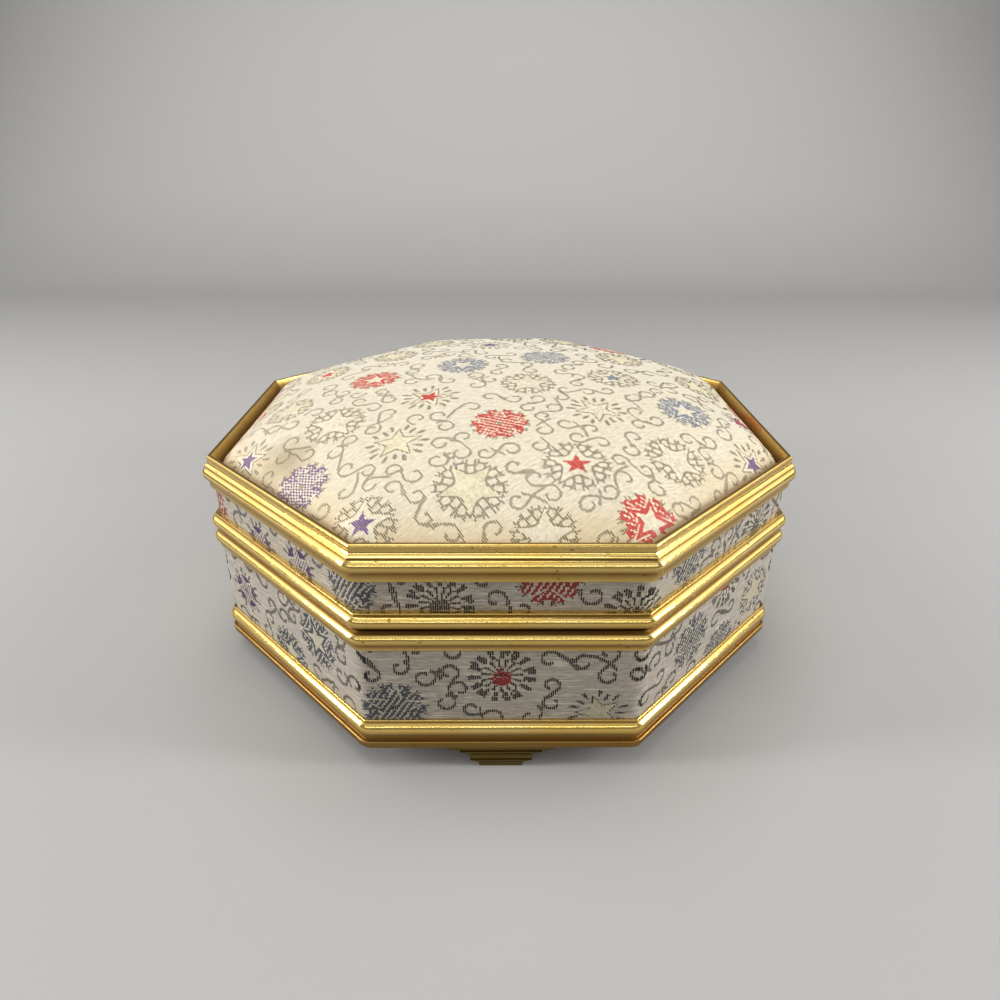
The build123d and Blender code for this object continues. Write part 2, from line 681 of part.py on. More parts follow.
if __name__ == "__main__":
    main()
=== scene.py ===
"""The looks of an octagonal keepsake box: silk brocade, gilt mouldings and velvet, round its CAD model.

Sizes are in millimetres until a mesh is made. An apothem is the distance from the centre line to the middle
of a side, and a share is a part of a whole, from 0 to 1.
"""
import math

import bpy
import numpy as np
from bpy.props import FloatProperty, FloatVectorProperty, IntProperty, PointerProperty
from mathutils import Matrix, Vector


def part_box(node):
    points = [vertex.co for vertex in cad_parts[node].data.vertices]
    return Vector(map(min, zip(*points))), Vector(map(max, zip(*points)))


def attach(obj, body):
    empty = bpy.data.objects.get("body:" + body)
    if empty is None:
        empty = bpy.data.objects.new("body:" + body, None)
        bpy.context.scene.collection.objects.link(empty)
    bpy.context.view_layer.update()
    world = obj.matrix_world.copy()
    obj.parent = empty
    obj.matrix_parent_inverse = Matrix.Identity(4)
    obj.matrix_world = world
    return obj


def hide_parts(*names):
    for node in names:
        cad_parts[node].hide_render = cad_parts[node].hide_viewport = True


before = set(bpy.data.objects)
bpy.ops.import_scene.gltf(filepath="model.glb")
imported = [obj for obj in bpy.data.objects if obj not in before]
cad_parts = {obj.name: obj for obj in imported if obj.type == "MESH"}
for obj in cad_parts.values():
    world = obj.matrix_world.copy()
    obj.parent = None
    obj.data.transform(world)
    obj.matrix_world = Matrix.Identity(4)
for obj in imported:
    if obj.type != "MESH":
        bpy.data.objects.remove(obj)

bl_info = {
    "name": "Brocade keepsake box",
    "version": (1, 0, 0),
    "blender": (4, 5, 0),
    "location": "3D View > Sidebar > Brocade box",
    "description": "Dresses the packed box in silk brocade, gilt mouldings and velvet",
    "category": "Object",
}

MM = 0.001
SIDES = 8
SIDE_ANGLE = 2 * math.pi / SIDES
HALF_TAN = math.tan(SIDE_ANGLE / 2)
# The side that rings and bands begin with, counted round from the right: the slanting one at the left back
SEAM_SIDE = 3
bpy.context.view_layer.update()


def node_level(node, end):
    """The lowest (end 0) or highest (end 1) level of a CAD node."""
    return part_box(node)[end].z / MM


def node_reach(node):
    """How far a CAD node reaches to the right, which is its outer apothem."""
    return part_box(node)[1].x / MM


# The octagon

# Apothems: of the beads, their rounded corners' centres, the bands' faces, the mouldings behind them, the
# walls' inner faces and the floor's seat; and the radius of a mitred corner
BEAD = node_reach("lid_top_frame")
CORNER_CENTRE = BEAD - 4.0
BASE_FACE, LID_FACE = 73.45, 72.75
BASE_BACK, LID_BACK = BASE_FACE - 0.6, LID_FACE - 0.6
WALL_INSIDE = 69.5
FLOOR_SEAT = 66.0
MITRE_RADIUS = 0.12


def octagon_columns(side_steps, corner_steps):
    """Columns round an octagon, side by side from the seam at the back: points on an octagon of apothem 1,
    and the outward directions there, which turn only at its corners."""
    across = np.linspace(-1, 1, side_steps + 1)
    turn = np.linspace(0, SIDE_ANGLE, corner_steps + 1)[1:-1]
    side = np.concatenate([across, np.ones(len(turn))])
    bend = np.concatenate([np.zeros(len(across)), turn])
    start = (SEAM_SIDE + np.arange(SIDES))[:, None] * SIDE_ANGLE
    facing = np.broadcast_to(start, (SIDES, len(side)))
    out = facing + bend
    cores = np.stack([np.cos(facing) - side * HALF_TAN * np.sin(facing),
                      np.sin(facing) + side * HALF_TAN * np.cos(facing)], -1)
    outs = np.stack([np.cos(out), np.sin(out)], -1)
    return cores.reshape(-1, 2), outs.reshape(-1, 2)


def octagon_rows(apothems, radii, heights, columns):
    """Rings of points: an octagon's core of apothem less radius, moved outwards by the radius."""
    cores, outs = columns
    apothems, radii, heights = (np.asarray(x, float)[:, None] for x in (apothems, radii, heights))
    flat = (apothems - radii)[..., None] * cores + radii[..., None] * outs
    return np.concatenate([flat, np.broadcast_to(heights[..., None], flat.shape[:2] + (1,))], -1)


def outside_octagon(x, y, apothem, radius):
    """How far points lie outside a rounded octagon. Folded into half a side, it is their distance to the core
    less the radius."""
    angle = np.arctan2(y, x)
    fold = np.abs((angle + SIDE_ANGLE / 2) % SIDE_ANGLE - SIDE_ANGLE / 2)
    length = np.hypot(x, y)
    core = apothem - radius
    past = length * np.cos(fold) - core
    beside = np.maximum(length * np.sin(fold) - core * HALF_TAN, 0)
    return np.where(past > 0, np.hypot(np.maximum(past, 0), beside), np.maximum(past, beside)) - radius


# Meshes

def signed_volume(points, loops):
    """Six times the volume inside closed faces, as a sum over fans from each face's first corner."""
    first, second, third = points[loops[:, 0]], points[loops[:, 1]], points[loops[:, 2]]
    total = np.einsum("ij,ij->", first, np.cross(second, third))
    if loops.shape[1] == 4:
        total += np.einsum("ij,ij->", first, np.cross(third, points[loops[:, 3]]))
    return total


def make_piece(name, points, faces, uvs=None, attributes=None, closed=True, smooth=True):
    """A mesh object from points in millimetres and arrays of faces, turned outwards where it is closed."""
    points = np.asarray(points, float)
    if closed and sum(signed_volume(points, f) for f in faces) < 0:
        faces = [f[:, ::-1] for f in faces]
        uvs = None if uvs is None else [u[:, ::-1] for u in uvs]
    mesh = bpy.data.meshes.new(name)
    loops = np.concatenate([f.ravel() for f in faces])
    counts = np.concatenate([np.full(len(f), f.shape[1]) for f in faces])
    mesh.vertices.add(len(points))
    mesh.vertices.foreach_set("co", (points * MM).astype(np.float32).ravel())
    mesh.loops.add(len(loops))
    mesh.loops.foreach_set("vertex_index", loops.astype(np.int32))
    mesh.polygons.add(len(counts))
    mesh.polygons.foreach_set("loop_start", np.concatenate([[0], np.cumsum(counts)[:-1]]).astype(np.int32))
    mesh.polygons.foreach_set("use_smooth", np.full(len(counts), smooth))
    mesh.update(calc_edges=True)
    if uvs is not None:
        flat = np.concatenate([u.reshape(-1, 2) for u in uvs]).astype(np.float32).ravel()
        mesh.uv_layers.new(name="cloth").uv.foreach_set("vector", flat)
    for key, values in (attributes or {}).items():
        attribute = mesh.attributes.new(key, "FLOAT", "POINT")
        attribute.data.foreach_set("value", np.asarray(values, np.float32).ravel())
    mesh.validate()
    piece = bpy.data.objects.new(name, mesh)
    bpy.context.scene.collection.objects.link(piece)
    return piece


def skin_parts(rows, uvs=None, closed_rows=False, poles=False):
    """Points, faces and the faces' places on the flat cloth, for a surface over a grid of rows by columns. Its
    columns go all the way round. Its rows close into a ring, or with poles its first and last rows shrink to
    their middles. The cloth's places have one column more, to reach round the seam."""
    count, around = rows.shape[:2]
    index = np.arange(count * around).reshape(count, around)
    above = np.roll(index, -1, 0)
    last = count if closed_rows else count - 1
    quads = np.stack([index, above, np.roll(above, -1, 1), np.roll(index, -1, 1)], -1)
    points, faces, places = rows.reshape(-1, 3), [quads[:last].reshape(-1, 4)], None
    if uvs is not None:
        up = np.roll(uvs, -1, 0)
        places = [np.stack([uvs[:, :-1], up[:, :-1], up[:, 1:], uvs[:, 1:]], 2)[:last].reshape(-1, 4, 2)]
    if poles:
        points = np.concatenate([points, rows[:1].mean(1), rows[-1:].mean(1)])
        for pole, end, turned in ((count * around, 0, 1), (count * around + 1, -1, -1)):
            fan = np.stack([np.full(around, pole), index[end], np.roll(index[end], -1)], -1)
            faces.append(fan[:, ::turned])
            if uvs is not None:
                ring = uvs[end]
                middle = np.broadcast_to(ring[:-1].mean(0), (around, 2))
                places.append(np.stack([middle, ring[:-1], ring[1:]], 1)[:, ::turned])
    return points, faces, places


def skin(name, rows, uvs=None, attributes=None, closed_rows=False, poles=False):
    """A piece made of such a surface, with attributes given on its grid."""
    points, faces, places = skin_parts(rows, uvs, closed_rows, poles)
    if poles and attributes:
        attributes = {key: np.concatenate([v.ravel(), v[0, :1], v[-1, :1]]) for key, v in attributes.items()}
    return make_piece(name, points, faces, places, attributes)


def dress(piece, finish, body, stands_for=()):
    """Gives a piece its material and its body, and hides the CAD nodes that it stands for."""
    piece.data.materials.append(finish)
    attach(piece, body)
    if stands_for:
        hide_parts(*stands_for)


def keep_edges(piece, degrees):
    """Smooth shading that stays crisp at edges sharper than the angle, with large faces shaded flat."""
    piece.data.set_sharp_from_angle(angle=math.radians(degrees))
    piece.modifiers.new("face weights", "WEIGHTED_NORMAL").keep_sharp = True


UNIT_BOX = np.array([[x, y, z] for x in (0, 1) for y in (0, 1) for z in (0, 1)])
BOX_SIDES = np.array([[0, 1, 3, 2], [4, 6, 7, 5], [0, 4, 5, 1], [2, 3, 7, 6], [0, 2, 6, 4], [1, 5, 7, 3]])


def cut_boxes(piece, boxes):
    """Takes boxes, given as (low, high) corners in millimetres, out of a piece's mesh."""
    for low, high in boxes:
        low, high = np.array(low), np.array(high)
        cutter = make_piece("cutter", low + UNIT_BOX * (high - low), [BOX_SIDES])
        modifier = piece.modifiers.new("pocket", "BOOLEAN")
        modifier.operation, modifier.solver, modifier.object = "DIFFERENCE", "EXACT", cutter
        bpy.context.view_layer.update()
        evaluated = piece.evaluated_get(bpy.context.evaluated_depsgraph_get())
        cut = bpy.data.meshes.new_from_object(evaluated)
        piece.modifiers.clear()
        piece.data = cut
        cut.name = piece.name
        bpy.data.objects.remove(cutter)


# Materials

class Socket:
    """A node's output. Python's operators on it add Math nodes."""

    def __init__(self, finish, output):
        self.finish = finish
        self.output = output

    def math(self, operation, *others):
        node = self.finish.tree.nodes.new("ShaderNodeMath")
        node.operation = operation
        for socket, value in zip(node.inputs, (self, *others)):
            self.finish.put(socket, value)
        return Socket(self.finish, node.outputs[0])

    def __add__(self, other):
        return self.math("ADD", other)

    def __sub__(self, other):
        return self.math("SUBTRACT", other)

    def __mul__(self, other):
        return self.math("MULTIPLY", other)

    def __rsub__(self, other):
        return (self * -1) + other

    __radd__ = __add__
    __rmul__ = __mul__

    def clamp(self):
        node = self.math("ADD", 0)
        node.output.node.use_clamp = True
        return node

    def between(self, low, high):
        """0 at or below low and 1 at or above high, in a straight line between."""
        return ((self - low) * (1 / (high - low))).clamp()


class NodeSet:
    """A node tree, and what makes and links its nodes."""

    def __init__(self, tree):
        self.tree = tree

    def put(self, socket, value):
        if isinstance(value, Socket):
            self.tree.links.new(value.output, socket)
        elif socket.type == "RGBA" and len(value) == 3:
            socket.default_value = (*value, 1)
        else:
            socket.default_value = value

    def node(self, kind, settings=(), output=0, **values):
        """A node of a kind, its settings first and then the values or links of its sockets."""
        node = self.tree.nodes.new("ShaderNode" + kind)
        for key, value in dict(settings).items():
            setattr(node, key, value)
        for key, value in values.items():
            self.put(node.inputs[key.replace("_", " ")], value)
        return Socket(self, node.outputs[output])


class Finish(NodeSet):
    """A procedural material being put together round one Principled shader."""

    def __init__(self, name, **constants):
        self.material = bpy.data.materials.new(name)
        self.material.use_nodes = True
        super().__init__(self.material.node_tree)
        self.shader = self.tree.nodes["Principled BSDF"]
        for key, value in constants.items():
            self.put(self.shader.inputs[key.replace("_", " ")], value)

    def vector(self, operation, first, second, output=0):
        """A Vector Math node on two vectors."""
        made = self.node("VectorMath", {"operation": operation}, output=output)
        for socket, value in zip(made.output.node.inputs, (first, second)):
            self.put(socket, value)
        return made

    def place(self, scale=(1, 1, 1), turn=0.0, on_cloth=False):
        """Places in millimetres on the piece or its flat cloth, turned in the plan and then stretched."""
        start = self.node("UVMap", {"uv_map": "cloth"}) if on_cloth else self.node("TexCoord", output=3)
        units = 1.0 if on_cloth else 1 / MM
        turned = self.node("Mapping", {"vector_type": "TEXTURE"}, Vector=start, Rotation=(0, 0, turn))
        return self.vector("MULTIPLY", turned, tuple(units * s for s in scale))

    def attribute(self, name):
        """A number that the piece keeps at its points."""
        return self.node("Attribute", {"attribute_name": name}, output=2)

    def noise(self, place, size, detail=3.0, roughness=0.55, distortion=0.0):
        """Fractal noise about 0.5, whose lumps are about size millimetres across."""
        return self.node("TexNoise", Vector=place, Scale=1 / size, Detail=detail, Roughness=roughness,
                         Distortion=distortion)

    def spots(self, place, size):
        """The distance to scattered points that are about size millimetres apart."""
        return self.node("TexVoronoi", {"feature": "F1"}, Vector=place, Scale=1 / size)

    def mix(self, factor, first, second):
        node = self.tree.nodes.new("ShaderNodeMix")
        node.data_type = "RGBA"
        for socket, value in zip((node.inputs[0], node.inputs[6], node.inputs[7]), (factor, first, second)):
            self.put(socket, value)
        return Socket(self, node.outputs[2])

    def tones(self, mask, low, high, colour, dark, light):
        """A colour times dark where a mask is at low or below, and times light where it is at high or above."""
        return self.mix(mask.between(low, high), shade(colour, dark), shade(colour, light))

    def colour(self, value):
        self.put(self.shader.inputs["Base Color"], value)

    def roughness(self, value):
        self.put(self.shader.inputs["Roughness"], value)

    def relief(self, *layers):
        """Bumps on the surface, each a height from 0 to 1 and its depth in millimetres."""
        normal = None
        for height, depth in layers:
            values = {"Height": height, "Distance": depth * MM, "Strength": 1.0}
            if normal:
                values["Normal"] = normal
            normal = self.node("Bump", **values)
        self.put(self.shader.inputs["Normal"], normal)


def shade(colour, *shares):
    """A colour times a share, or times one for each of red, green and blue, up to 1."""
    return tuple(min(1.0, c * s) for c, s in zip(colour, shares * 3 if len(shares) == 1 else shares))


# Gilt where it is warmer and where dark patina and painted shade lie on it, as shares of its colour, and the
# metal that rubbing bares
WARM_SHARES = 0.98, 0.91, 0.7
PATINA_SHADE_SHARES = 0.15, 0.085, 0.05
BARE_METAL = 0.16, 0.07, 0.03
# Silk in its clouds, at its yellowed rim and in its stain, as shares of its colour
CLOUD_SHARES = 0.93, 0.91, 0.84
AGED_SHARES = 0.82, 0.65, 0.4
STAIN_SHARES = 0.5, 0.41, 0.32


def gilt_finish(name, colour, rubbed=0.75):
    """Polished gilt: warm metal with faint drawing lines, dull patina and painted shade in its grooves and
    wherever else its pieces mark them, and small rubbed specks.
    """
    f = Finish(name, Metallic=1.0)
    place = f.place()
    cloud = f.noise(place, 14.0, 4.0)
    fine = f.noise(place, 1.1, 4.0, 0.65)
    # Dark patina in hollows and painted shade, kept as a number at the pieces' points
    patina_and_shade_amount = f.attribute("groove")
    speck = f.spots(f.place((1, 1, 1.6)), 2.3)
    patch = f.noise(place, 4.2, 3.0, 0.7)
    worn = (1 - speck.between(0.1, 0.24)) * patch.between(0.52, 0.62)
    warm = f.mix(cloud.between(0.35, 0.65), colour, shade(colour, *WARM_SHARES))
    # Patina and painted shade turn the gilt a dark brown
    dull = f.mix(patina_and_shade_amount * 0.88, warm, shade(colour, *PATINA_SHADE_SHARES))
    f.colour(f.mix(worn * rubbed, dull, BARE_METAL))
    f.roughness((0.08 + fine * 0.08 + cloud * 0.05 + patina_and_shade_amount * 0.3 + worn * 0.3).clamp())
    f.relief((fine, 0.011), (f.noise(place, 6.0, 2.0), 0.12), (1 - worn, 0.03))
    return f.material


def silk_finish(name, colour, stain=False, turn=0.0, streaks=False):
    """Satin silk: fine floats along one thread, crossed by a faint rib, with a soft lustre; with streaks,
    bright streaks of painted sheen too.
    """
    f = Finish(name, Specular_IOR_Level=0.42, Sheen_Weight=0.25, Sheen_Roughness=0.45)
    place, cloth = f.place(), f.place(on_cloth=True)
    strokes = f.noise(f.place((0.45, 2.1, 1), turn, True), 1.0, 3.0, 0.7)
    rib = f.node("TexWave", {"wave_type": "BANDS", "bands_direction": "X"},
                 Vector=f.place((1, 1, 1), turn, True), Scale=0.55, Distortion=0.6, Detail=1.0)
    cloud = f.noise(cloth, 17.0, 3.0)
    dark, light = (0.5, 1.05) if streaks else (0.7, 1.04)
    mottled = f.tones(strokes, 0.36, 0.66, colour, dark, light)
    if streaks:
        # Painted sheen: bright streaks along the bands' silk
        painted_sheen = f.noise(f.place((0.11, 2.4, 1), turn, True), 1.0, 2.0).between(0.54, 0.7)
        mottled = f.mix(painted_sheen * 0.75, mottled, shade(colour, 1.9))
    clouded = f.mix(cloud.between(0.3, 0.7) * 0.5, mottled, shade(colour, *CLOUD_SHARES))
    if stain:
        tide = f.attribute("rim") + f.noise(place, 9.0, 3.0) * 0.16
        aged = tide.between(0.97, 1.14) * 0.8
        clouded = f.mix(aged, clouded, shade(colour, *AGED_SHARES))
        away = f.vector("DISTANCE", f.node("TexCoord", output=3), STAIN_PLACE, output=1) * (1 / MM)
        faded = (1 - (away + f.noise(place, 5.0, 3.0) * 9.0).between(6.0, 15.0)) * 0.8
        clouded = f.mix(faded, clouded, shade(colour, *STAIN_SHARES))
    f.colour(clouded)
    f.roughness((0.62 - strokes * 0.28).clamp())
    f.relief((strokes, 0.1), (rib, 0.025), (f.noise(cloth, 3.0, 2.0), 0.1))
    return f.material


def thread_finish(name, colour):
    """Floats of twisted silk in one colour, each a little lighter or darker."""
    f = Finish(name, Specular_IOR_Level=0.35)
    place = f.place()
    shift = f.noise(place, 0.9, 2.0, 0.7)
    patch = f.noise(place, 7.0, 2.0)
    tone = f.tones(shift, 0.3, 0.7, colour, 0.8, 1.2)
    f.colour(f.mix(patch.between(0.4, 0.7) * 0.4, tone, shade(colour, 1.35)))
    f.roughness(0.42 + shift * 0.2)
    f.relief((f.noise(place, 0.16, 1.0), 0.02))
    return f.material


def velvet_finish(name, colour):
    """Short pile: dark where it stands up, pale where it is brushed over."""
    f = Finish(name, Specular_IOR_Level=0.15, Sheen_Weight=0.9, Sheen_Roughness=0.35,
               Sheen_Tint=(*shade(colour, 2.2), 1))
    place = f.place()
    brushed = f.noise(place, 11.0, 4.0, 0.6, 0.8)
    pile = f.noise(place, 0.35, 2.0, 0.8)
    tone = f.tones(brushed, 0.38, 0.62, colour, 0.72, 1.2)
    f.colour(f.mix(pile.between(0.4, 0.6) * 0.35, tone, shade(colour, 0.45)))
    f.roughness(0.82 + pile * 0.15)
    f.relief((pile, 0.12), (brushed, 0.15))
    return f.material


def steel_finish(name, colour):
    """Plain steel with turning marks and a little dullness."""
    f = Finish(name, Metallic=1.0)
    marks = f.noise(f.place((1, 1, 6)), 0.6, 3.0, 0.7)
    dull = f.noise(f.place(), 2.5, 4.0)
    f.colour(f.mix(dull.between(0.45, 0.7) * 0.6, colour, shade(colour, 0.45)))
    f.roughness(0.28 + marks * 0.2)
    f.relief((marks, 0.01))
    return f.material


def board_finish(name, colour):
    """Pale grey-brown casing board with a pressed grain."""
    f = Finish(name, Specular_IOR_Level=0.2)
    grain = f.noise(f.place((1, 1, 5)), 3.0, 5.0, 0.65)
    fleck = f.noise(f.place(), 0.5, 2.0)
    tone = f.tones(grain, 0.35, 0.65, colour, 0.75, 1.12)
    f.colour(f.mix(fleck.between(0.55, 0.75) * 0.5, tone, shade(colour, 0.55)))
    f.roughness(0.72 + fleck * 0.2)
    f.relief((grain, 0.05), (fleck, 0.03))
    return f.material


def felt_finish(name, colour):
    """Pressed wool: short fibres lying every way."""
    f = Finish(name, Specular_IOR_Level=0.1, Sheen_Weight=0.15, Sheen_Roughness=0.6)
    place = f.place()
    fibres = f.noise(place, 0.45, 5.0, 0.8, 1.5)
    cloud = f.noise(place, 8.0, 3.0)
    tone = f.tones(fibres, 0.35, 0.65, colour, 0.6, 1.35)
    f.colour(f.mix(cloud.between(0.4, 0.7) * 0.4, tone, shade(colour, 0.7)))
    f.roughness(0.85 + fibres * 0.1)
    f.relief((fibres, 0.15))
    return f.material


# The gilt mouldings

# How far a sharp edge is softened and how much of a face that may take; steps of an arc and of a softened edge
EDGE_SOFTNESS, SOFT_SHARE = 0.13, 0.4
ARC_STEPS = 12
BEND_SHARES = np.array([0.25, 0.5, 0.75])[:, None]
# How far dull patina and painted shade reach from a hollow corner, and painted shadow from the seam, and how
# dense the painted shade is underneath and on the step
GROOVE_REACH, SEAM_SHADOW_REACH = 0.5, 0.75
UNDER_PAINTED_SHADE, STEP_PAINTED_SHADE = 0.9, 0.92
MOULDING_COLUMNS = octagon_columns(20, 8)
MOULDING_CREASE, BAND_CREASE = 35, 40


class Section:
    """A moulding's closed outline, drawn with the outside on its right. A point is its apothem, its rise above
    the lowest level of the moulding's node and, where it isn't 0, how far the edge that ends there swells to
    the right. The edges that end at the rounded points turn an octagon's corner about the beads' common centre,
    and the others, before and after them, are sharply mitred."""

    def __init__(self, node, before, rounded, after):
        self.node, self.low = node, node_level(node, 0)
        points = [*before, *rounded, *after]
        self.points = np.array([(point[0], self.low + point[1]) for point in points])
        self.bulges = [sum(point[2:]) for point in points]
        self.rounds = [0.0] * len(before) + [1.0] * len(rounded) + [0.0] * len(after)
        self.chords = np.linalg.norm(np.roll(self.points, -1, 0) - self.points, axis=1)
        swelled = np.roll(self.bulges, -1) / self.chords
        self.lengths = self.chords * (1 + (8 / 3) * swelled**2)

    def edge(self, number, shares):
        """Points at shares of the edge that leaves a point: along the chord by R sin t, and off it by R cos t
        less R plus the bulge."""
        following = (number + 1) % len(self.points)
        start, end, bulge = self.points[number], self.points[following], self.bulges[following]
        share = np.asarray(shares)[:, None]
        if not bulge:
            return start + (end - start) * share
        chord = self.chords[number]
        along = (end - start) / chord
        right = np.array([along[1], -along[0]])
        radius = (chord**2 / 4 + bulge**2) / (2 * bulge)
        angle = (share - 0.5) * 4 * math.atan(2 * bulge / chord)
        middle = (start + end) / 2
        return middle + along * radius * np.sin(angle) + right * (radius * np.cos(angle) - radius + bulge)

    def rows(self):
        """The outline's points with each edge softened by a quadratic curve, their corner radii, and how dark
        each is
        painted: with patina and painted shade from lying in a hollow, or with painted shade from facing down."""
        count, t = len(self.points), BEND_SHARES
        cuts = np.minimum(EDGE_SOFTNESS, SOFT_SHARE * self.lengths)
        found, radii, grooves = [], [], []
        for number in range(count):
            following = (number + 1) % count
            before = min(cuts[number - 1], cuts[number]) / self.lengths[number]
            after = min(cuts[number], cuts[following])
            steps = ARC_STEPS + 1 if self.bulges[following] else 2
            body = self.edge(number, np.linspace(before, 1 - after / self.lengths[number], steps))
            follow = self.edge(following, [after / self.lengths[following]])[0]
            corner = self.points[following]
            into, out = corner - body[-1], follow - corner
            if into[0] * out[1] - into[1] * out[0] < 0:
                grooves.append(corner)
            found += [body, (1 - t) ** 2 * body[-1] + 2 * t * (1 - t) * corner + t**2 * follow]
            own, far = self.rounds[following], self.rounds[(number + 2) % count]
            radii += [np.full(steps, own), own + (far - own) * t.ravel()]
        points = np.concatenate(found)
        reach = np.maximum(points[:, 0] - CORNER_CENTRE, 0.5)
        radius = MITRE_RADIUS + (reach - MITRE_RADIUS) * np.concatenate(radii)
        # Dark patina and painted shade close to each hollow corner
        gap = np.linalg.norm(points[:, None] - np.array(grooves), axis=-1).min(1)
        # Painted shade on faces that look down, and a little on upright ones
        heading = np.roll(points, -1, 0) - np.roll(points, 1, 0)
        down = heading[:, 0] / np.linalg.norm(heading, axis=1)
        under = UNDER_PAINTED_SHADE * np.clip(1.1 * down + 0.42, 0, 1)
        return points, radius, np.maximum(np.exp(-((gap / GROOVE_REACH) ** 2)), under)


def moulding(section, finish, body, pockets=(), seam=None, step=None):
    """A section carried round the octagon, with dark patina and painted shade in its grooves, painted shadow
    near the seam's level and painted shade below the step's."""
    points, radius, groove = section.rows()
    # Painted shadow in the gap at the seam, and painted shade on the low step
    if seam:
        groove = np.maximum(groove, np.exp(-(((points[:, 1] - seam) / SEAM_SHADOW_REACH) ** 4)))
    if step:
        groove = np.maximum(groove, STEP_PAINTED_SHADE * (points[:, 1] < step))
    rows = octagon_rows(points[:, 0], radius, points[:, 1], MOULDING_COLUMNS)
    patina_and_shade_amount = np.repeat(groove[:, None], rows.shape[1], 1)
    piece = skin(section.node + "_gilt", rows, attributes={"groove": patina_and_shade_amount}, closed_rows=True)
    cut_boxes(piece, pockets)
    keep_edges(piece, MOULDING_CREASE)
    dress(piece, finish, body, [section.node])


# How high the board under the padded top is above the lowest level of its frame
BOARD_RISE = node_level("lid_dome_board", 0) - node_level("lid_top_frame", 0)
BASE_BOTTOM = Section(
    "base_bottom_frame",
    [(FLOOR_SEAT, 0)],
    [(BEAD - 0.1, 0), (BEAD - 0.1, 1.5), (BEAD - 0.3, 1.7), (BEAD - 1.0, 1.7), (BEAD - 1.0, 2.9),
     (BEAD - 1.2, 2.9), (BEAD - 1.2, 6.7, 1.2)],
    [(BEAD - 1.1, 6.7), (BEAD - 1.1, 7.4), (BEAD - 1.6, 7.4), (BEAD - 1.6, 6.1), (BASE_BACK, 6.1),
     (BASE_BACK, 1.4), (FLOOR_SEAT, 1.4)],
)
BASE_TOP = Section(
    "base_top_rim",
    [(BASE_BACK, 1.3), (BEAD - 1.6, 1.3), (BEAD - 1.6, 0)],
    [(BEAD - 1.0, 0), (BEAD - 1.0, 1.3), (BEAD - 1.1, 1.3), (BEAD - 1.1, 4.4, 1.1), (BEAD - 1.75, 4.75)],
    [(WALL_INSIDE, 4.75), (WALL_INSIDE, 3.8), (BASE_BACK, 3.8)],
)
LID_BOTTOM = Section(
    "lid_bottom_rim",
    [(WALL_INSIDE, 0), (BEAD - 1.8, 0)],
    [(BEAD - 1.7, 0.3), (BEAD - 1.7, 0.6), (BEAD - 1.4, 0.75), (BEAD - 1.35, 0.75),
     (BEAD - 1.35, 3.85, 1.35)],
    [(BEAD - 1.15, 4.17), (BEAD - 1.15, 4.5), (LID_FACE + 0.05, 4.5), (LID_FACE + 0.05, 3.2), (LID_BACK, 3.2),
     (LID_BACK, 0.95), (WALL_INSIDE, 0.95)],
)
LID_TOP = Section(
    "lid_top_frame",
    [(LID_FACE + 0.05, 1.5), (LID_FACE + 0.05, 0)],
    [(BEAD - 1.2, 0), (BEAD - 1.2, 1.9), (BEAD - 1.3, 1.9), (BEAD - 1.3, 5.3, 1.3)],
    [(BEAD - 1.0, 5.58), (BEAD - 1.0, 5.85), (BEAD - 1.8, 7.35, -0.35), (BEAD - 1.8, 7.78),
     (BEAD - 2.5, 8.3, 0.2), (BEAD - 2.9, 8.26), (BEAD - 4.05, 5.0), (BEAD - 4.8, 4.9),
     (BEAD - 4.8, BOARD_RISE), (LID_BACK, BOARD_RISE), (LID_BACK, 1.5)],
)


# The padded top

# The simulated sheet: the spacing of its points, how far it reaches and how far out its middle goes, its start
# as a share of the crown's height, the share of the plan beyond which it is held, and the most that it may rise
SWELL_PITCH, SWELL_REACH, SWELL_MIDDLE = 2.6, 75.4, 20.0
SWELL_START, SWELL_HELD, SWELL_CAP = 0.94, 0.985, 1.2
CLOTH_MASS, CLOTH_SLACK, CLOTH_PRESSURE, CLOTH_FRAMES = 0.006, 0.004, 4.0, 20
# The crown: its corner radius at its edge, the powers a and b of its height, how round it is towards its
# middle, and how much higher it is to the right, as a share for each millimetre
CROWN_CORNER, WIDTH_POWER, CROWN_POWER, ROUND_SHARE, LEAN = 5.0, 2.5, 0.68, 0.86, 0.0008
FOLD_DEPTH, WAVE_DEPTH = 0.16, 0.14
HALVINGS = 30


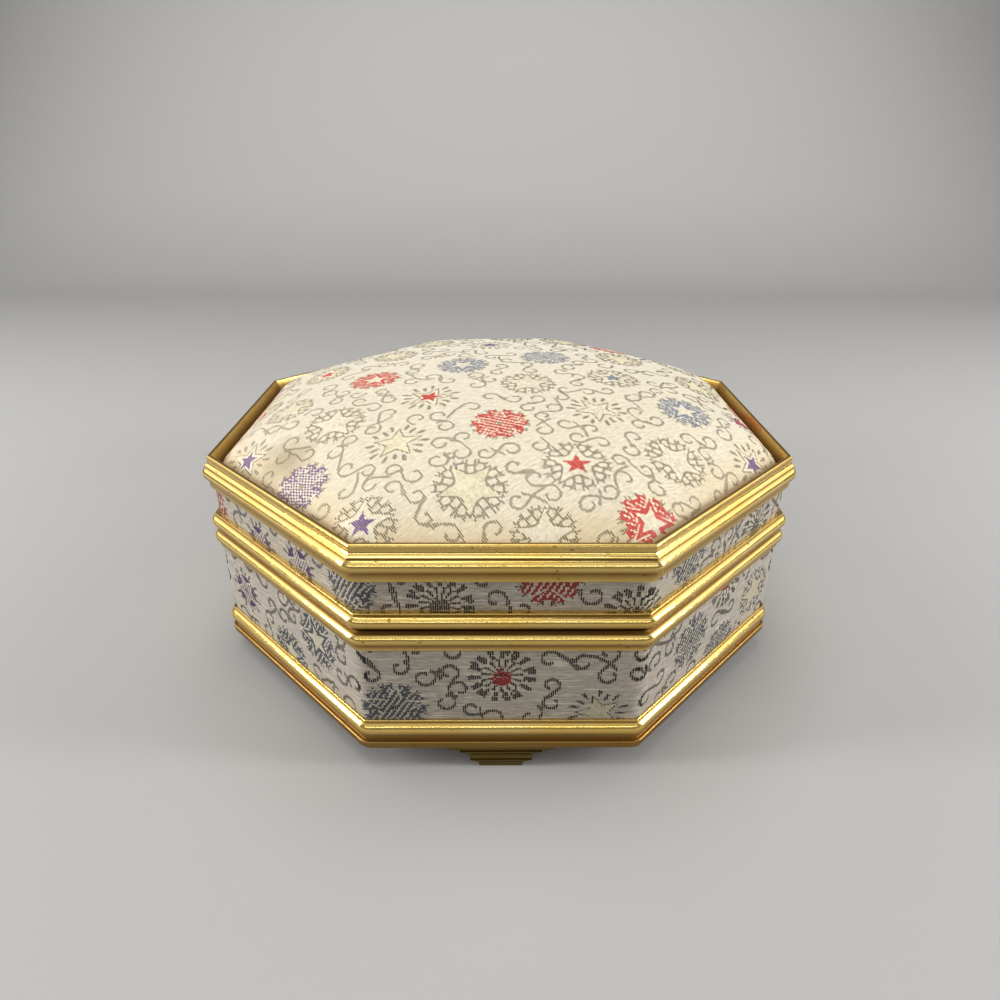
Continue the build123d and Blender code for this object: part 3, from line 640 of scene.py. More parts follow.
class Crown:
    """A padded octagon. At a share w of the way from its middle to its edge the outline is an octagon of
    apothem A w whose corners round off towards the middle, and the height is H (1 - w^a)^b. Cloth lies on it
    by its length from the middle, so that its figure doesn't shrink where the side is steep."""

    def __init__(self, apothem, low, height):
        self.apothem, self.low, self.tall = apothem, low, height
        self.swell = None
        self.table = np.sin(np.linspace(0, math.pi / 2, 400))
        rise = np.diff(self.rise(self.table)) * height
        self.lengths = np.concatenate([[0], np.cumsum(np.hypot(np.diff(self.table) * apothem, rise))])

    def rise(self, share):
        return (1 - np.clip(share, 0, 1) ** WIDTH_POWER) ** CROWN_POWER

    def radius(self, share):
        return (CROWN_CORNER + (self.apothem * ROUND_SHARE - CROWN_CORNER) * (1 - share)) * share

    def height(self, share, x, y):
        plain = self.tall * self.rise(share) * (1 + LEAN * x) + self.pucker(share, x, y)
        if self.swell is None:
            return self.low + plain
        return self.low + plain * SWELL_START + self.swelled(x, y)

    def swelled(self, x, y):
        """The simulated cloth's rise at places of the plan, in straight lines between its grid's points."""
        last = len(self.swell) - 1
        across, along = (np.clip((c / SWELL_REACH + 1) / 2 * last, 0, last - 0.001) for c in (x, y))
        i, j = np.floor(across).astype(int), np.floor(along).astype(int)
        s, t = across - i, along - j
        near = self.swell[i, j] * (1 - t) + self.swell[i, j + 1] * t
        return near * (1 - s) + (self.swell[i + 1, j] * (1 - t) + self.swell[i + 1, j + 1] * t) * s

    def simulate(self, scene):
        """Lays a square sheet of cloth on the crown made a little lower, holds it outside the frame, and lets
        the wadding's pressure push it out. How far it rises is kept, within a cap, smoothed, and scaled so that
        the middle comes back to the crown's full height."""
        count = int(round(2 * SWELL_REACH / SWELL_PITCH)) + 1
        line = np.linspace(-SWELL_REACH, SWELL_REACH, count)
        x, y = np.meshgrid(line, line, indexing="ij")
        share = self.share_at(x, y, False)
        start = self.low + (self.height(share, x, y) - self.low) * SWELL_START
        index = np.arange(count * count).reshape(count, count)
        quads = np.stack([index[:-1, :-1], index[1:, :-1], index[1:, 1:], index[:-1, 1:]], -1).reshape(-1, 4)
        points = np.stack([x, y, start], -1).reshape(-1, 3)
        sheet = make_piece("cloth_trial", points, [quads], closed=False)
        held = np.flatnonzero(share.ravel() > SWELL_HELD).tolist()
        sheet.vertex_groups.new(name="held").add(held, 1.0, "ADD")
        settings = sheet.modifiers.new("cloth", "CLOTH").settings
        settings.vertex_group_mass = "held"
        settings.quality, settings.mass, settings.air_damping = 8, CLOTH_MASS, 2.0
        settings.shrink_min = -CLOTH_SLACK
        settings.use_pressure, settings.uniform_pressure_force = True, CLOTH_PRESSURE
        settings.effector_weights.gravity = 0
        for number in range(1, CLOTH_FRAMES + 1):
            scene.frame_set(number)
        evaluated = sheet.evaluated_get(bpy.context.evaluated_depsgraph_get())
        places = np.zeros(count * count * 3, np.float32)
        evaluated.data.vertices.foreach_get("co", places)
        rise = places.reshape(count, count, 3)[..., 2] / MM - start
        scene.frame_set(1)
        bpy.data.objects.remove(sheet)
        rise = np.clip(rise, -SWELL_CAP, SWELL_CAP)
        rise[1:-1] = (rise[:-2] + 2 * rise[1:-1] + rise[2:]) / 4
        rise[:, 1:-1] = (rise[:, :-2] + 2 * rise[:, 1:-1] + rise[:, 2:]) / 4
        middle = rise[np.hypot(x, y) < SWELL_MIDDLE].mean()
        self.swell = rise * self.tall * (1 - SWELL_START) / middle * (share < 1)

    def pucker(self, share, x, y):
        """Small folds that run in from the edge, most of all at the corners, and the wadding's slow waves."""
        angle = np.arctan2(y, x)
        corner = 0.5 - 0.5 * np.cos(angle * SIDES)
        folds = np.sin(angle * 31 + 2.0 * np.sin(angle * 5)) * np.sin(angle * 47 + 1.3)
        near_edge = np.clip((share - 0.74) / 0.2, 0, 1) ** 2 * np.clip((1 - share) * 25, 0, 1)
        slow = np.sin(x * 0.11 + 0.7) * np.sin(y * 0.13 + 1.1) + 0.6 * np.sin(x * 0.19 - y * 0.16)
        inside = np.clip((1 - share) * 4, 0, 1)
        return FOLD_DEPTH * folds * near_edge * (0.4 + corner) + WAVE_DEPTH * slow * inside

    def gather(self, share):
        """How much shorter the plan is than the cloth that covers it."""
        share = np.maximum(share, 1e-4)
        return self.apothem * share / np.interp(share, self.table, self.lengths)

    def share_at(self, x, y, on_cloth):
        """The share at points of the plan, or of the flat cloth, by halving the doubt again and again."""
        low, high = np.zeros_like(x), np.ones_like(x)
        for _ in range(HALVINGS):
            middle = (low + high) / 2
            scale = self.gather(middle) if on_cloth else 1.0
            outside = outside_octagon(x * scale, y * scale, self.apothem * middle, self.radius(middle)) > 0
            low, high = np.where(outside, middle, low), np.where(outside, high, middle)
        return (low + high) / 2

    def lay(self, u, v):
        """Places on the crown for points of the flat cloth."""
        share = self.share_at(u, v, True)
        scale = self.gather(share)
        x, y = u * scale, v * scale
        return np.stack([x, y, self.height(share, x, y)], -1)

    def grid(self, shares, columns):
        """Rows of places at shares, on the columns round the octagon, with the flat cloth's places."""
        shares = np.asarray(shares, float)
        rows = octagon_rows(self.apothem * shares, self.radius(shares), 0 * shares, columns)
        x, y = rows[..., 0], rows[..., 1]
        rows[..., 2] = self.height(shares[:, None], x, y)
        return rows, rows[..., :2] / self.gather(shares)[:, None, None]


TOP_EDGE = node_level("lid_top_frame", 0) + 5.68
TOP_HEIGHT = node_level("lid_dome_brocade", 1) - TOP_EDGE
top_crown = Crown(node_reach("lid_dome_brocade"), TOP_EDGE, TOP_HEIGHT)

# The photographed camera: its place in metres, its turns, its focal length as a share of the picture's width,
# and that width in pixels; and where the stain is in the picture
CAMERA_PLACE = (-0.001866, -0.190746, 0.129737)
CAMERA_PITCH, CAMERA_YAW, CAMERA_ROLL = (math.radians(a) for a in (27.4434, 0.6364, 0.3321))
CAMERA_FOCUS = 0.7011
PICTURE = 1000
STAIN_PIXEL = 285, 460
# How often a line of sight's level is bettered, and how far each time
SIGHT_ROUNDS, SIGHT_STEP = 60, 0.4


def camera_axes():
    """The camera's right, up and forward directions."""
    level = math.cos(CAMERA_PITCH)
    forward = Vector((math.sin(CAMERA_YAW) * level, math.cos(CAMERA_YAW) * level, -math.sin(CAMERA_PITCH)))
    right = Vector((math.cos(CAMERA_YAW), -math.sin(CAMERA_YAW), 0))
    up = right.cross(forward)
    turned = right * math.cos(CAMERA_ROLL) + up * math.sin(CAMERA_ROLL)
    return turned, up * math.cos(CAMERA_ROLL) - right * math.sin(CAMERA_ROLL), forward


def sight_lines(pixels):
    """The directions from the camera through pixels of the picture."""
    right, up, forward = (np.array(axis) for axis in camera_axes())
    across = (np.asarray(pixels, float) - PICTURE / 2) / (PICTURE * CAMERA_FOCUS)
    return forward + across[:, :1] * right - across[:, 1:] * up


def seen_on_top(pixels):
    """Where pixels of the picture fall on the crown: places on its flat cloth, and points of the crown. The
    level where each line of sight meets the crown is found by going back and forth between the two."""
    lines = sight_lines(pixels)
    eye = np.array(CAMERA_PLACE) / MM
    level = np.full(len(lines), TOP_EDGE + 0.6 * TOP_HEIGHT)
    for _ in range(SIGHT_ROUNDS):
        reach = (level - eye[2]) / lines[:, 2]
        x, y = eye[0] + reach * lines[:, 0], eye[1] + reach * lines[:, 1]
        share = top_crown.share_at(x, y, False)
        level = level * (1 - SIGHT_STEP) + SIGHT_STEP * top_crown.height(share, x, y)
    scale = top_crown.gather(share)
    return np.stack([x / scale, y / scale], -1), np.stack([x, y, level], -1)


STAIN_PLACE = tuple(float(c) * MM for c in seen_on_top([STAIN_PIXEL])[1][0])

# The woven figure

# The weave's grid, how long a float may be on the top and on the bands, and how many rows deep a line is there
THREAD_PITCH, ROW_PITCH = 0.46, 0.2
TOP_FLOAT, BAND_FLOAT = 1.4, 2.6
TOP_DEPTH, BAND_DEPTH = 3, 5
# How far a float's ends stray
SLIP = 0.06
# The kinds of thread, and the kind of flower whose petals are a burst of rays
OUTLINE, RED, BLUE, PURPLE, CREAM, YELLOW, PETAL = 1, 2, 3, 4, 5, 6, 7
BURST = 2
# A flower: the radius that it needs, its filled middle and eye, its star, the star's rim and its smaller stars
FLOWER_POINTS = 5
POINT_ANGLE = 2 * math.pi / FLOWER_POINTS
FLOWER_ROOM = 8.6
FILLED_RADIUS, EYE_RADIUS = 5.2, 0.8
STAR_TIP, STAR_WAIST, STAR_OUTLINE_FROM = 7.0, 2.9, 3.4
RIM_INSIDE, RIM_OUTSIDE = 0.06, 0.3
STROKED_STAR, HEART_SHARE, FILLED_HEART_SHARE = 0.8, 0.48, 0.62
# Its petals' cells, by angle from a gap's middle and distance from the centre, and the claws at their sides
CELL_WIDTH, CELL_DEPTH, CELL_LINE = 0.92, 1.2, 0.23
CELL_PLACES = ((0.0, 4.75), (math.radians(20), 5.75))
CLAW_END = 7.9
TWILL_STEP = 0.8
# Its strokes, which widen outwards, and a burst's rays, broken at one radius, round a heart set a little low
STROKE_WIDTH, STROKE_FLARE, STROKE_SHIFT, STROKE_LENGTH = 0.42, 0.12, 0.6, 1.3
RAYS, RAY_BREAK, RAY_END, PALE_RAY_END = 15, 4.6, 7.4, 5.8
HEART_DROP, BURST_HEART, BURST_EYE, EYE_LEVEL = 0.8, 2.1, 1.7, -0.4
# The curls between the flowers: how far apart, how large, how far from a flower, and how their stems join them
TRIAL_AREA, CURL_SPACING, CURL_CLEARANCE = 0.5, 5.1, 1.5
CURL_RADII, CURL_TURNS = (1.9, 2.4), (4.3, 5.4)
JOIN_REACH, JOIN_CHANCE, STEM_BOW = 1.9, 2.0, 0.5
STEM_TO_CURL, STEM_TO_FLOWER = 0.35, FLOWER_ROOM - 0.6
THORN_CHANCE, THORN_LENGTH, THORN_LEAN = 0.3, 1.0, 0.8
LONE_TURNS, LONE_STEM = 5.0, 1.6


def outside_star(radius, angle, tip, waist):
    """How far points lie outside a star, at an angle from its nearest point: their distance from the straight
    line between tip and waist."""
    half = POINT_ANGLE / 2
    run, rise = waist * math.cos(half) - tip, waist * math.sin(half)
    x, y = radius * np.cos(angle) - tip, radius * np.sin(angle)
    return (x * rise - y * run) / math.hypot(run, rise)


class Weave:
    """The figure of a brocade on its grid of threads: columns across, and rows along each thread."""

    def __init__(self, low, high, depth, longest):
        self.depth, self.longest = depth, longest
        self.low = np.array(low, float)
        span = np.array(high, float) - self.low
        self.shape = tuple(np.ceil(span / (THREAD_PITCH, ROW_PITCH)).astype(int))
        self.cells = np.zeros(self.shape, np.int8)
        self.flowers = []

    def flower(self, place, turn, petals, star, heart, size, strokes):
        """A star of five points, with three petals in each gap between them. The petals are outlined cells, or
        filled with a colour, or short radial strokes. The star and its heart have their own colours."""
        self.flowers.append(place)
        column = self.low[0] + (np.arange(self.shape[0]) + 0.5) * THREAD_PITCH
        row = self.low[1] + (np.arange(self.shape[1]) + 0.5) * ROW_PITCH
        near_column = np.flatnonzero(np.abs(column - place[0]) < FLOWER_ROOM)
        near_row = np.flatnonzero(np.abs(row - place[1]) < FLOWER_ROOM)
        if not len(near_column) or not len(near_row):
            return
        du = (column[near_column][:, None] - place[0]) / size
        dv = (row[near_row][None] - place[1]) / size
        radius = np.hypot(du, dv)
        angle = np.arctan2(dv, du) - turn
        to_point = np.abs((angle + POINT_ANGLE / 2) % POINT_ANGLE - POINT_ANGLE / 2)
        to_gap = POINT_ANGLE / 2 - to_point
        found = np.zeros(radius.shape, np.int8)
        solid = petals and star == petals
        thread = np.arange(len(near_column))[:, None]
        repeat = 2 if petals == PURPLE else 3
        twill = (thread * (repeat - 1) + np.floor(dv / TWILL_STEP)) % repeat == 0
        if solid:
            found[radius < FILLED_RADIUS] = petals
        for offset, distance in CELL_PLACES:
            across = np.abs(radius * np.sin(to_gap - offset))
            outwards = radius * np.cos(to_gap - offset) - distance
            if strokes:
                wide = STROKE_WIDTH + STROKE_FLARE * outwards
                drop = (across / wide) ** 2 + ((outwards - STROKE_SHIFT) / STROKE_LENGTH) ** 2
                found[(drop < 1) & (found == 0)] = PETAL
                continue
            value = ((across / CELL_WIDTH) ** 4 + np.abs(outwards / CELL_DEPTH) ** 4) ** 0.25
            beside = np.abs(across - CELL_WIDTH) < CELL_LINE
            found[beside & (outwards > CELL_DEPTH * 0.8) & (radius < CLAW_END)] = PETAL
            found[np.abs(value - 1) < CELL_LINE] = petals if solid else PETAL
            found[value < 1 - CELL_LINE] = petals
            if solid:
                found[(value < 0.85) & twill] = CREAM
        small = STROKED_STAR if strokes else 1.0
        outside = outside_star(radius, to_point, STAR_TIP * small, STAR_WAIST * small)
        if star:
            found[outside < 0] = star
            rim = (outside > -RIM_INSIDE) & (outside < RIM_OUTSIDE)
            rim &= (radius < STAR_TIP * small + RIM_OUTSIDE) & (radius > (0 if strokes else STAR_OUTLINE_FROM))
            found[rim] = CREAM if solid else PETAL
        if solid and not heart:
            found[twill & (outside < 0)] = CREAM
            found[radius < EYE_RADIUS] = PETAL
        if heart:
            part = FILLED_HEART_SHARE if solid else HEART_SHARE
            found[outside_star(radius, to_point, STAR_TIP * part, STAR_WAIST * part) < 0] = heart
        if strokes == BURST:
            ray = np.sin(angle * RAYS + np.where(radius > RAY_BREAK, math.pi, 0))
            found[(radius < RAY_END) & (ray > 0.1)] = PETAL
            pale = thread % 2 == 0
            found[pale & (radius < PALE_RAY_END) & (ray < -0.1)] = CREAM
            from_heart = np.hypot(du, dv + HEART_DROP)
            found[from_heart < BURST_HEART] = heart
            found[pale & (from_heart < BURST_EYE) & (dv > EYE_LEVEL)] = PETAL
        block = np.ix_(near_column, near_row)
        self.cells[block] = np.where(found > 0, found, self.cells[block])

    def line(self, points):
        """Marks the cells under a line, as many rows deep as the figure's depth."""
        cells = np.floor((points - self.low) / (THREAD_PITCH, ROW_PITCH)).astype(int)
        good = ((cells >= (0, 1)) & (cells < (self.shape[0], self.shape[1] + 2 - self.depth))).all(1)
        for extra in range(-1, self.depth - 1):
            where = cells[good][:, 0], cells[good][:, 1] + extra
            self.cells[where] = np.where(self.cells[where] > 0, self.cells[where], OUTLINE)

    def curls(self, seed):
        """Fills the ground between the flowers with curls, joined by stems that leave each along its tangent.
        A stem is left out where it would run into a flower or a curl that isn't its own."""
        self.draw = np.random.default_rng(seed)
        high = self.low + np.array(self.shape) * (THREAD_PITCH, ROW_PITCH)
        trials = self.draw.uniform(self.low, high, (int(np.prod(high - self.low) / TRIAL_AREA), 2))
        from_flower = np.linalg.norm(trials[:, None] - np.array(self.flowers), axis=-1).min(1)
        chosen = np.empty((0, 2))
        for trial in trials[from_flower > FLOWER_ROOM + CURL_CLEARANCE]:
            if not len(chosen) or np.hypot(*(chosen - trial).T).min() > CURL_SPACING:
                chosen = np.vstack([chosen, trial])
        self.centres = chosen
        self.radii = self.draw.uniform(*CURL_RADII, len(chosen))
        apart = np.linalg.norm(chosen[:, None] - chosen[None], axis=-1)
        apart[np.tril_indices(len(chosen))] = np.inf
        first, second = np.nonzero(apart < CURL_SPACING * JOIN_REACH)
        order = np.argsort(apart[first, second] + self.draw.uniform(0, JOIN_CHANCE, len(first)))
        self.begun = np.zeros(len(chosen), bool)
        links = np.zeros(len(chosen), int)
        for most in (0, 1):
            for a, b in zip(first[order], second[order]):
                if links[a] <= most and links[b] <= most + 1 and self.join(a, b):
                    links[a] += 1
                    links[b] += 1
        for lone in np.flatnonzero(~self.begun):
            angle = self.draw.uniform(0, 2 * math.pi)
            away = np.array([math.cos(angle), math.sin(angle)])
            begin = chosen[lone] + self.radii[lone] * np.array([-away[1], away[0]])
            self.line(curl(chosen[lone], self.radii[lone], begin, away, LONE_TURNS))
            self.line(stem(begin, begin + away * LONE_STEM, 0.2))

    def join(self, one, other):
        """A stem between two curls, an S that crosses between them or else a C that runs along both, and the
        curls themselves where they aren't begun yet. A short thorn may grow from its middle."""
        centres, radii = self.centres, self.radii
        kinds = [(crossing, side) for crossing in (True, False) for side in (-1, 1)]
        for kind in sorted(self.draw.permutation(4), key=lambda kind: not kinds[kind][0]):
            pair = centres[one], centres[other], radii[one], radii[other]
            start, end, heading = tangent(*pair, *kinds[kind])
            path = stem(start, end, self.draw.uniform(-STEM_BOW, STEM_BOW))
            some = path[::6, None]
            gap = np.linalg.norm(some - centres[None], axis=-1) - radii
            gap[:, [one, other]] = np.inf
            from_flower = np.linalg.norm(some - np.array(self.flowers), axis=-1)
            if gap.min() > STEM_TO_CURL and from_flower.min() > STEM_TO_FLOWER:
                break
        else:
            return False
        self.line(path)
        for curled, begin, away in ((one, start, heading), (other, end, -heading)):
            if not self.begun[curled]:
                self.begun[curled] = True
                turns = self.draw.uniform(*CURL_TURNS)
                self.line(curl(centres[curled], radii[curled], begin, away, turns))
        if self.draw.random() < THORN_CHANCE:
            aside = np.array([-heading[1], heading[0]]) * self.draw.choice((-1, 1))
            middle = path[len(path) // 2]
            self.line(stem(middle, middle + heading * THORN_LENGTH + aside * THORN_LEAN, 0.1))
        return True

    def floats(self):
        """Each run of one colour along a thread: its column, both its ends and its colour."""
        padded = np.zeros((self.shape[0], self.shape[1] + 2), np.int8)
        padded[:, 1:-1] = self.cells
        change = padded[:, 1:] != padded[:, :-1]
        column, row = np.nonzero(change)
        colour = padded[column, row + 1]
        following = np.concatenate([row[1:], [0]])
        real = (colour > 0) & (np.concatenate([column[1:], [-1]]) == column)
        u = self.low[0] + (column[real] + 0.5) * THREAD_PITCH
        start = self.low[1] + row[real] * ROW_PITCH
        span = (following[real] - row[real]) * ROW_PITCH
        parts = np.ceil(span / self.longest).astype(int)
        own = np.repeat(np.arange(len(parts)), parts)
        number = np.arange(len(own)) - np.repeat(np.cumsum(parts) - parts, parts)
        part = (span / parts)[own]
        begin = start[own] + number * part
        draw = np.random.default_rng(len(own))
        slip = draw.uniform(-SLIP, SLIP, (3, len(own)))
        return u[own] + slip[0] * 0.5, begin + slip[1], begin + part + slip[2], colour[real][own]


def tangent(one, other, radius, other_radius, crossing, side):
    """Where a straight line touches two circles, and its direction. It runs between them, or outside both."""
    apart = np.linalg.norm(other - one)
    along = (other - one) / apart
    left = np.array([-along[1], along[0]])
    crossing = crossing and apart > radius + other_radius + 0.3
    sine = (radius + other_radius if crossing else radius - other_radius) / apart
    normal = along * sine + left * side * math.sqrt(max(0.0, 1 - sine**2))
    start = one + normal * radius
    end = other + normal * (-other_radius if crossing else other_radius)
    return start, end, (end - start) / max(np.linalg.norm(end - start), 1e-6)


def curl(centre, radius, start, heading, turns):
    """A spiral that winds in from start round its centre, opposite to heading; turns is its angle."""
    begin = math.atan2(*(start - centre)[::-1])
    spin = -np.sign((start - centre)[0] * heading[1] - (start - centre)[1] * heading[0]) or 1.0
    share = np.linspace(0, 1, 110)
    angle = begin + spin * turns * share
    reach = radius * (1 - 0.56 * share**1.4)
    return centre + reach[:, None] * np.stack([np.cos(angle), np.sin(angle)], -1)


def stem(start, end, bow):
    """A line from start to end, bowed aside by a squared sine so that it keeps its direction at both ends."""
    share = np.linspace(0, 1, 90)[:, None]
    along = end - start
    aside = np.array([-along[1], along[0]]) / max(np.linalg.norm(along), 1e-6)
    return start + along * share + aside * bow * np.sin(math.pi * share) ** 2


def thread_piece(name, u, start, end, place, width, height):
    """Raised floats: each a hipped ridge over a rectangle along its thread, closed underneath."""
    half = width / 2
    run_in = np.minimum(0.3, (end - start) * 0.35)
    across = np.stack([u - half, u + half, u + half, u - half, u, u], 1)
    along = np.stack([start, start, end, end, start + run_in, end - run_in], 1)
    lift = np.broadcast_to(np.array([-0.03] * 4 + [height] * 2), across.shape)
    points = place(across.ravel(), along.ravel(), lift.ravel())
    first = np.arange(len(u))[:, None] * 6
    quads = np.concatenate([first + np.array([q]) for q in ([1, 2, 5, 4], [3, 0, 4, 5], [3, 2, 1, 0])])
    ends = np.concatenate([first + np.array([t]) for t in ([0, 1, 4], [2, 3, 5])])
    return make_piece(name, points, [quads, ends], smooth=False)


def lifted(lay, u, v, lift):
    """Points at a lift above a laid cloth, along its normal from two short steps."""
    step = 0.05
    here, beside, beyond = lay(u, v), lay(u + step, v), lay(u, v + step)
    normal = np.cross(beside - here, beyond - here)
    normal /= np.maximum(np.linalg.norm(normal, axis=-1, keepdims=True), 1e-12)
    return here + normal * lift[:, None]


# Each thread's name, how wide its floats are as a share of the setting, and how high they stand in millimetres
THREADS = {
    OUTLINE: ("scroll", 0.75, 0.06),
    PETAL: ("petal", 0.85, 0.06),
    RED: ("red", 1.3, 0.07),
    BLUE: ("blue", 1.3, 0.07),
    PURPLE: ("purple", 1.25, 0.07),
    CREAM: ("cream", 1.45, 0.05),
    YELLOW: ("yellow", 1.45, 0.05),
}


def weave_threads(prefix, weave, lay, keep, colours, body, bold=1.0):
    """One piece for each colour of thread in a figure. Bold widens every float."""
    u, start, end, colour = weave.floats()
    good = keep(u, start) & keep(u, end)
    width = bpy.context.scene.brocade_cloth.thread_width
    for number in sorted(set(colour[good])):
        own = good & (colour == number)
        thread, share, height = THREADS[number]
        name = f"{prefix}_{thread}_threads"
        piece = thread_piece(name, u[own], start[own], end[own], lay, width * share * bold, height)
        dress(piece, thread_finish(name, colours[number]), body)


# The top's flowers, by where each is in the picture: petals, star, heart, size, whether its petals are strokes,
# and the direction on the plan of one point of its star, in degrees
UP, DOWN = 90, 270
TOP_FLOWERS = (
    ((500, 423), RED, RED, 0, 0.92, False, UP),
    ((375, 380), RED, RED, CREAM, 0.92, False, UP),
    ((430, 397), 0, CREAM, RED, 1.0, True, 0),
    ((577, 464), 0, CREAM, RED, 1.0, False, UP),
    ((652, 522), RED, RED, CREAM, 1.0, False, UP),
    ((463, 365), BLUE, BLUE, CREAM, 0.95, False, DOWN),
    ((545, 357), BLUE, BLUE, 0, 0.95, False, UP),
    ((684, 411), BLUE, BLUE, CREAM, 0.95, False, UP),
    ((613, 378), 0, CREAM, BLUE, 0.95, False, UP),
    ((301, 487), PURPLE, PURPLE, 0, 0.95, False, UP),
    ((361, 524), 0, CREAM, PURPLE, 1.0, False, 85),
    ((248, 461), 0, CREAM, PURPLE, 0.95, True, 70),
    ((753, 465), 0, CREAM, PURPLE, 0.95, True, 80),
    ((470, 487), 0, YELLOW, 0, 1.05, False, DOWN),
    ((397, 443), 0, YELLOW, 0, 1.0, True, UP),
    ((597, 410), 0, CREAM, 0, 1.0, True, DOWN),
    ((676, 461), 0, CREAM, 0, 1.0, False, DOWN),
    ((528, 383), 0, CREAM, 0, 0.95, False, UP),
    ((335, 424), 0, CREAM, 0, 1.0, False, UP),
    ((290, 411), YELLOW, CREAM, YELLOW, 0.9, False, UP),
    ((545, 537), YELLOW, CREAM, 0, 0.95, False, UP),
    ((490, 345), 0, CREAM, PURPLE, 0.95, True, UP),
    ((396, 356), 0, YELLOW, 0, 0.9, False, DOWN),
    ((619, 359), 0, YELLOW, 0, 0.95, False, DOWN),
    ((697, 388), 0, YELLOW, 0, 0.95, False, UP),
    ((740, 424), 0, PURPLE, RED, 0.8, True, UP),
    ((328, 375), YELLOW, CREAM, RED, 0.9, False, UP),
)
THREAD_ANGLE = math.radians(-55)
along_thread = np.array([math.cos(THREAD_ANGLE), math.sin(THREAD_ANGLE)])
across_thread = np.array([-along_thread[1], along_thread[0]])
# How far apart the other flowers stand on the top and on the bands, how many are tried, and the draws' seeds
TOP_GAP, TOP_TRIALS, TOP_SEED, TOP_CURL_SEED = 16.5, 900, 7, 11
BAND_GAP, BAND_TRIALS = 17.5, 500
# How far inside the frame the top's figure ends
FIGURE_INSET = 0.3


def flat_place(u, v):
    """From the weave's columns and rows to the flat cloth of the top."""
    return (u[:, None] * across_thread + v[:, None] * along_thread).T


def top_place(u, v, lift):
    """From the weave's columns and rows to the crown, at a lift above it."""
    return lifted(lambda column, row: top_crown.lay(*flat_place(column, row)), u, v, lift)


def on_top(u, v):
    """Whether places of the weave are inside the frame."""
    edge = top_crown.gather(np.ones(1))[0]
    x, y = flat_place(u, v) * edge
    return outside_octagon(x, y, top_crown.apothem - FIGURE_INSET, CROWN_CORNER) < 0


def top_weave():
    """The top's figure: the flowers that the picture shows, others where there is room, and curls."""
    reach = top_crown.lengths[-1] * 1.1
    weave = Weave((-reach, -reach), (reach, reach), TOP_DEPTH, TOP_FLOAT)
    places, _ = seen_on_top([flower[0] for flower in TOP_FLOWERS])
    places = places @ np.stack([across_thread, along_thread], 1)
    kinds = [flower[1:] for flower in TOP_FLOWERS]
    trials = np.random.default_rng(TOP_SEED).uniform(-reach, reach, (TOP_TRIALS, 2))
    for place, (*kind, tip) in zip(*scatter(places, kinds, kinds, trials, TOP_GAP, math.inf)):
        weave.flower(place, THREAD_ANGLE + math.radians(90 - tip), *kind)
    weave.curls(TOP_CURL_SEED)
    return weave


# The brocade bands

# The radius of their corners, their swell between the mouldings, the strip's thickness, and how much of it the
# weave may pass at an edge before it is cut
BAND_CORNER = 3.6
BASE_SWELL, LID_SWELL = 0.3, 0.15
STRIP_THICK = 0.55
EDGE_SLACK = 0.35
BAND_ROWS, BAND_COLUMNS = 14, 64
BAND_BOLD = 2.1


class Band:
    """A strip of cloth round the octagon, by its length from the seam at the back and its height. It swells a
    little between its edges, by a share of its height, as cloth does over thin wadding."""

    def __init__(self, apothem, low, high, swell):
        self.apothem, self.low, self.high, self.swell = apothem, low, high, swell
        self.half = (apothem - BAND_CORNER) * HALF_TAN
        self.period = 2 * self.half + BAND_CORNER * SIDE_ANGLE
        self.length = self.period * SIDES

    def lay(self, length, height):
        """Places on the band: straight along a side, then round the corner's arc."""
        side = np.floor(length / self.period)
        local = length - side * self.period
        bend = np.clip((local - 2 * self.half) / BAND_CORNER, 0, SIDE_ANGLE)
        facing = (SEAM_SIDE + side) * SIDE_ANGLE
        across = np.minimum(local - self.half, self.half)
        out = facing + bend
        middle = (self.low + self.high) / 2
        span = (height - middle) / ((self.high - self.low) / 2)
        puff = self.swell * np.clip(1 - span**2, 0, 1)
        core, reach = self.apothem - BAND_CORNER, BAND_CORNER + puff
        x = core * np.cos(facing) - across * np.sin(facing) + reach * np.cos(out)
        y = core * np.sin(facing) + across * np.cos(facing) + reach * np.sin(out)
        return np.stack([x, y, height], -1)

    def grid(self, heights):
        """Rows of places at heights, with each one's length along the strip as its flat cloth."""
        lengths = self.period * np.arange(SIDES * BAND_COLUMNS) / BAND_COLUMNS
        mesh_length, mesh_height = np.meshgrid(lengths, heights)
        rows = self.lay(mesh_length.ravel(), mesh_height.ravel()).reshape(*mesh_length.shape, 3)
        flat_lengths = np.concatenate([lengths, [self.length]])
        return rows, np.stack(np.meshgrid(flat_lengths, heights), -1)

    def thread_place(self, u, v, lift):
        """From the weave's columns and rows to the strip, held between its edges, at a lift above it."""
        return lifted(self.lay, u, np.clip(v, self.low, self.high), lift)

    def holds(self, _, v):
        """Whether places of the weave are on the strip, by their height alone."""
        return (v > self.low - EDGE_SLACK) & (v < self.high + EDGE_SLACK)


def band_piece(name, node, band, finish, body):
    """The strip with its thickness: up its outside, over the top edge and down its inside."""
    low, high = node_level(node, 0), node_level(node, 1)
    rows, flat = band.grid([low, *np.linspace(band.low, band.high, BAND_ROWS), high])
    inner = Band(band.apothem - STRIP_THICK, low, high, 0.0)
    back, back_flat = inner.grid([high, low])
    back_flat = back_flat * (band.period / inner.period, 1)
    piece = skin(name, np.concatenate([rows, back]), np.concatenate([flat, back_flat]), closed_rows=True)
    keep_edges(piece, BAND_CREASE)
    dress(piece, finish, body, [node])


def scatter(places, kinds, choices, trials, gap, period):
    """Adds flowers of like kinds at the trial places that are farther than a gap from every other one."""
    places, kinds = list(places), list(kinds)
    for number, trial in enumerate(trials):
        apart = np.abs(np.array(places) - trial)
        apart[:, 0] = np.minimum(apart[:, 0], period - apart[:, 0])
        if np.hypot(*apart.T).min() > gap:
            places.append(trial)
            kinds.append(choices[number % len(choices)])
    return places, kinds


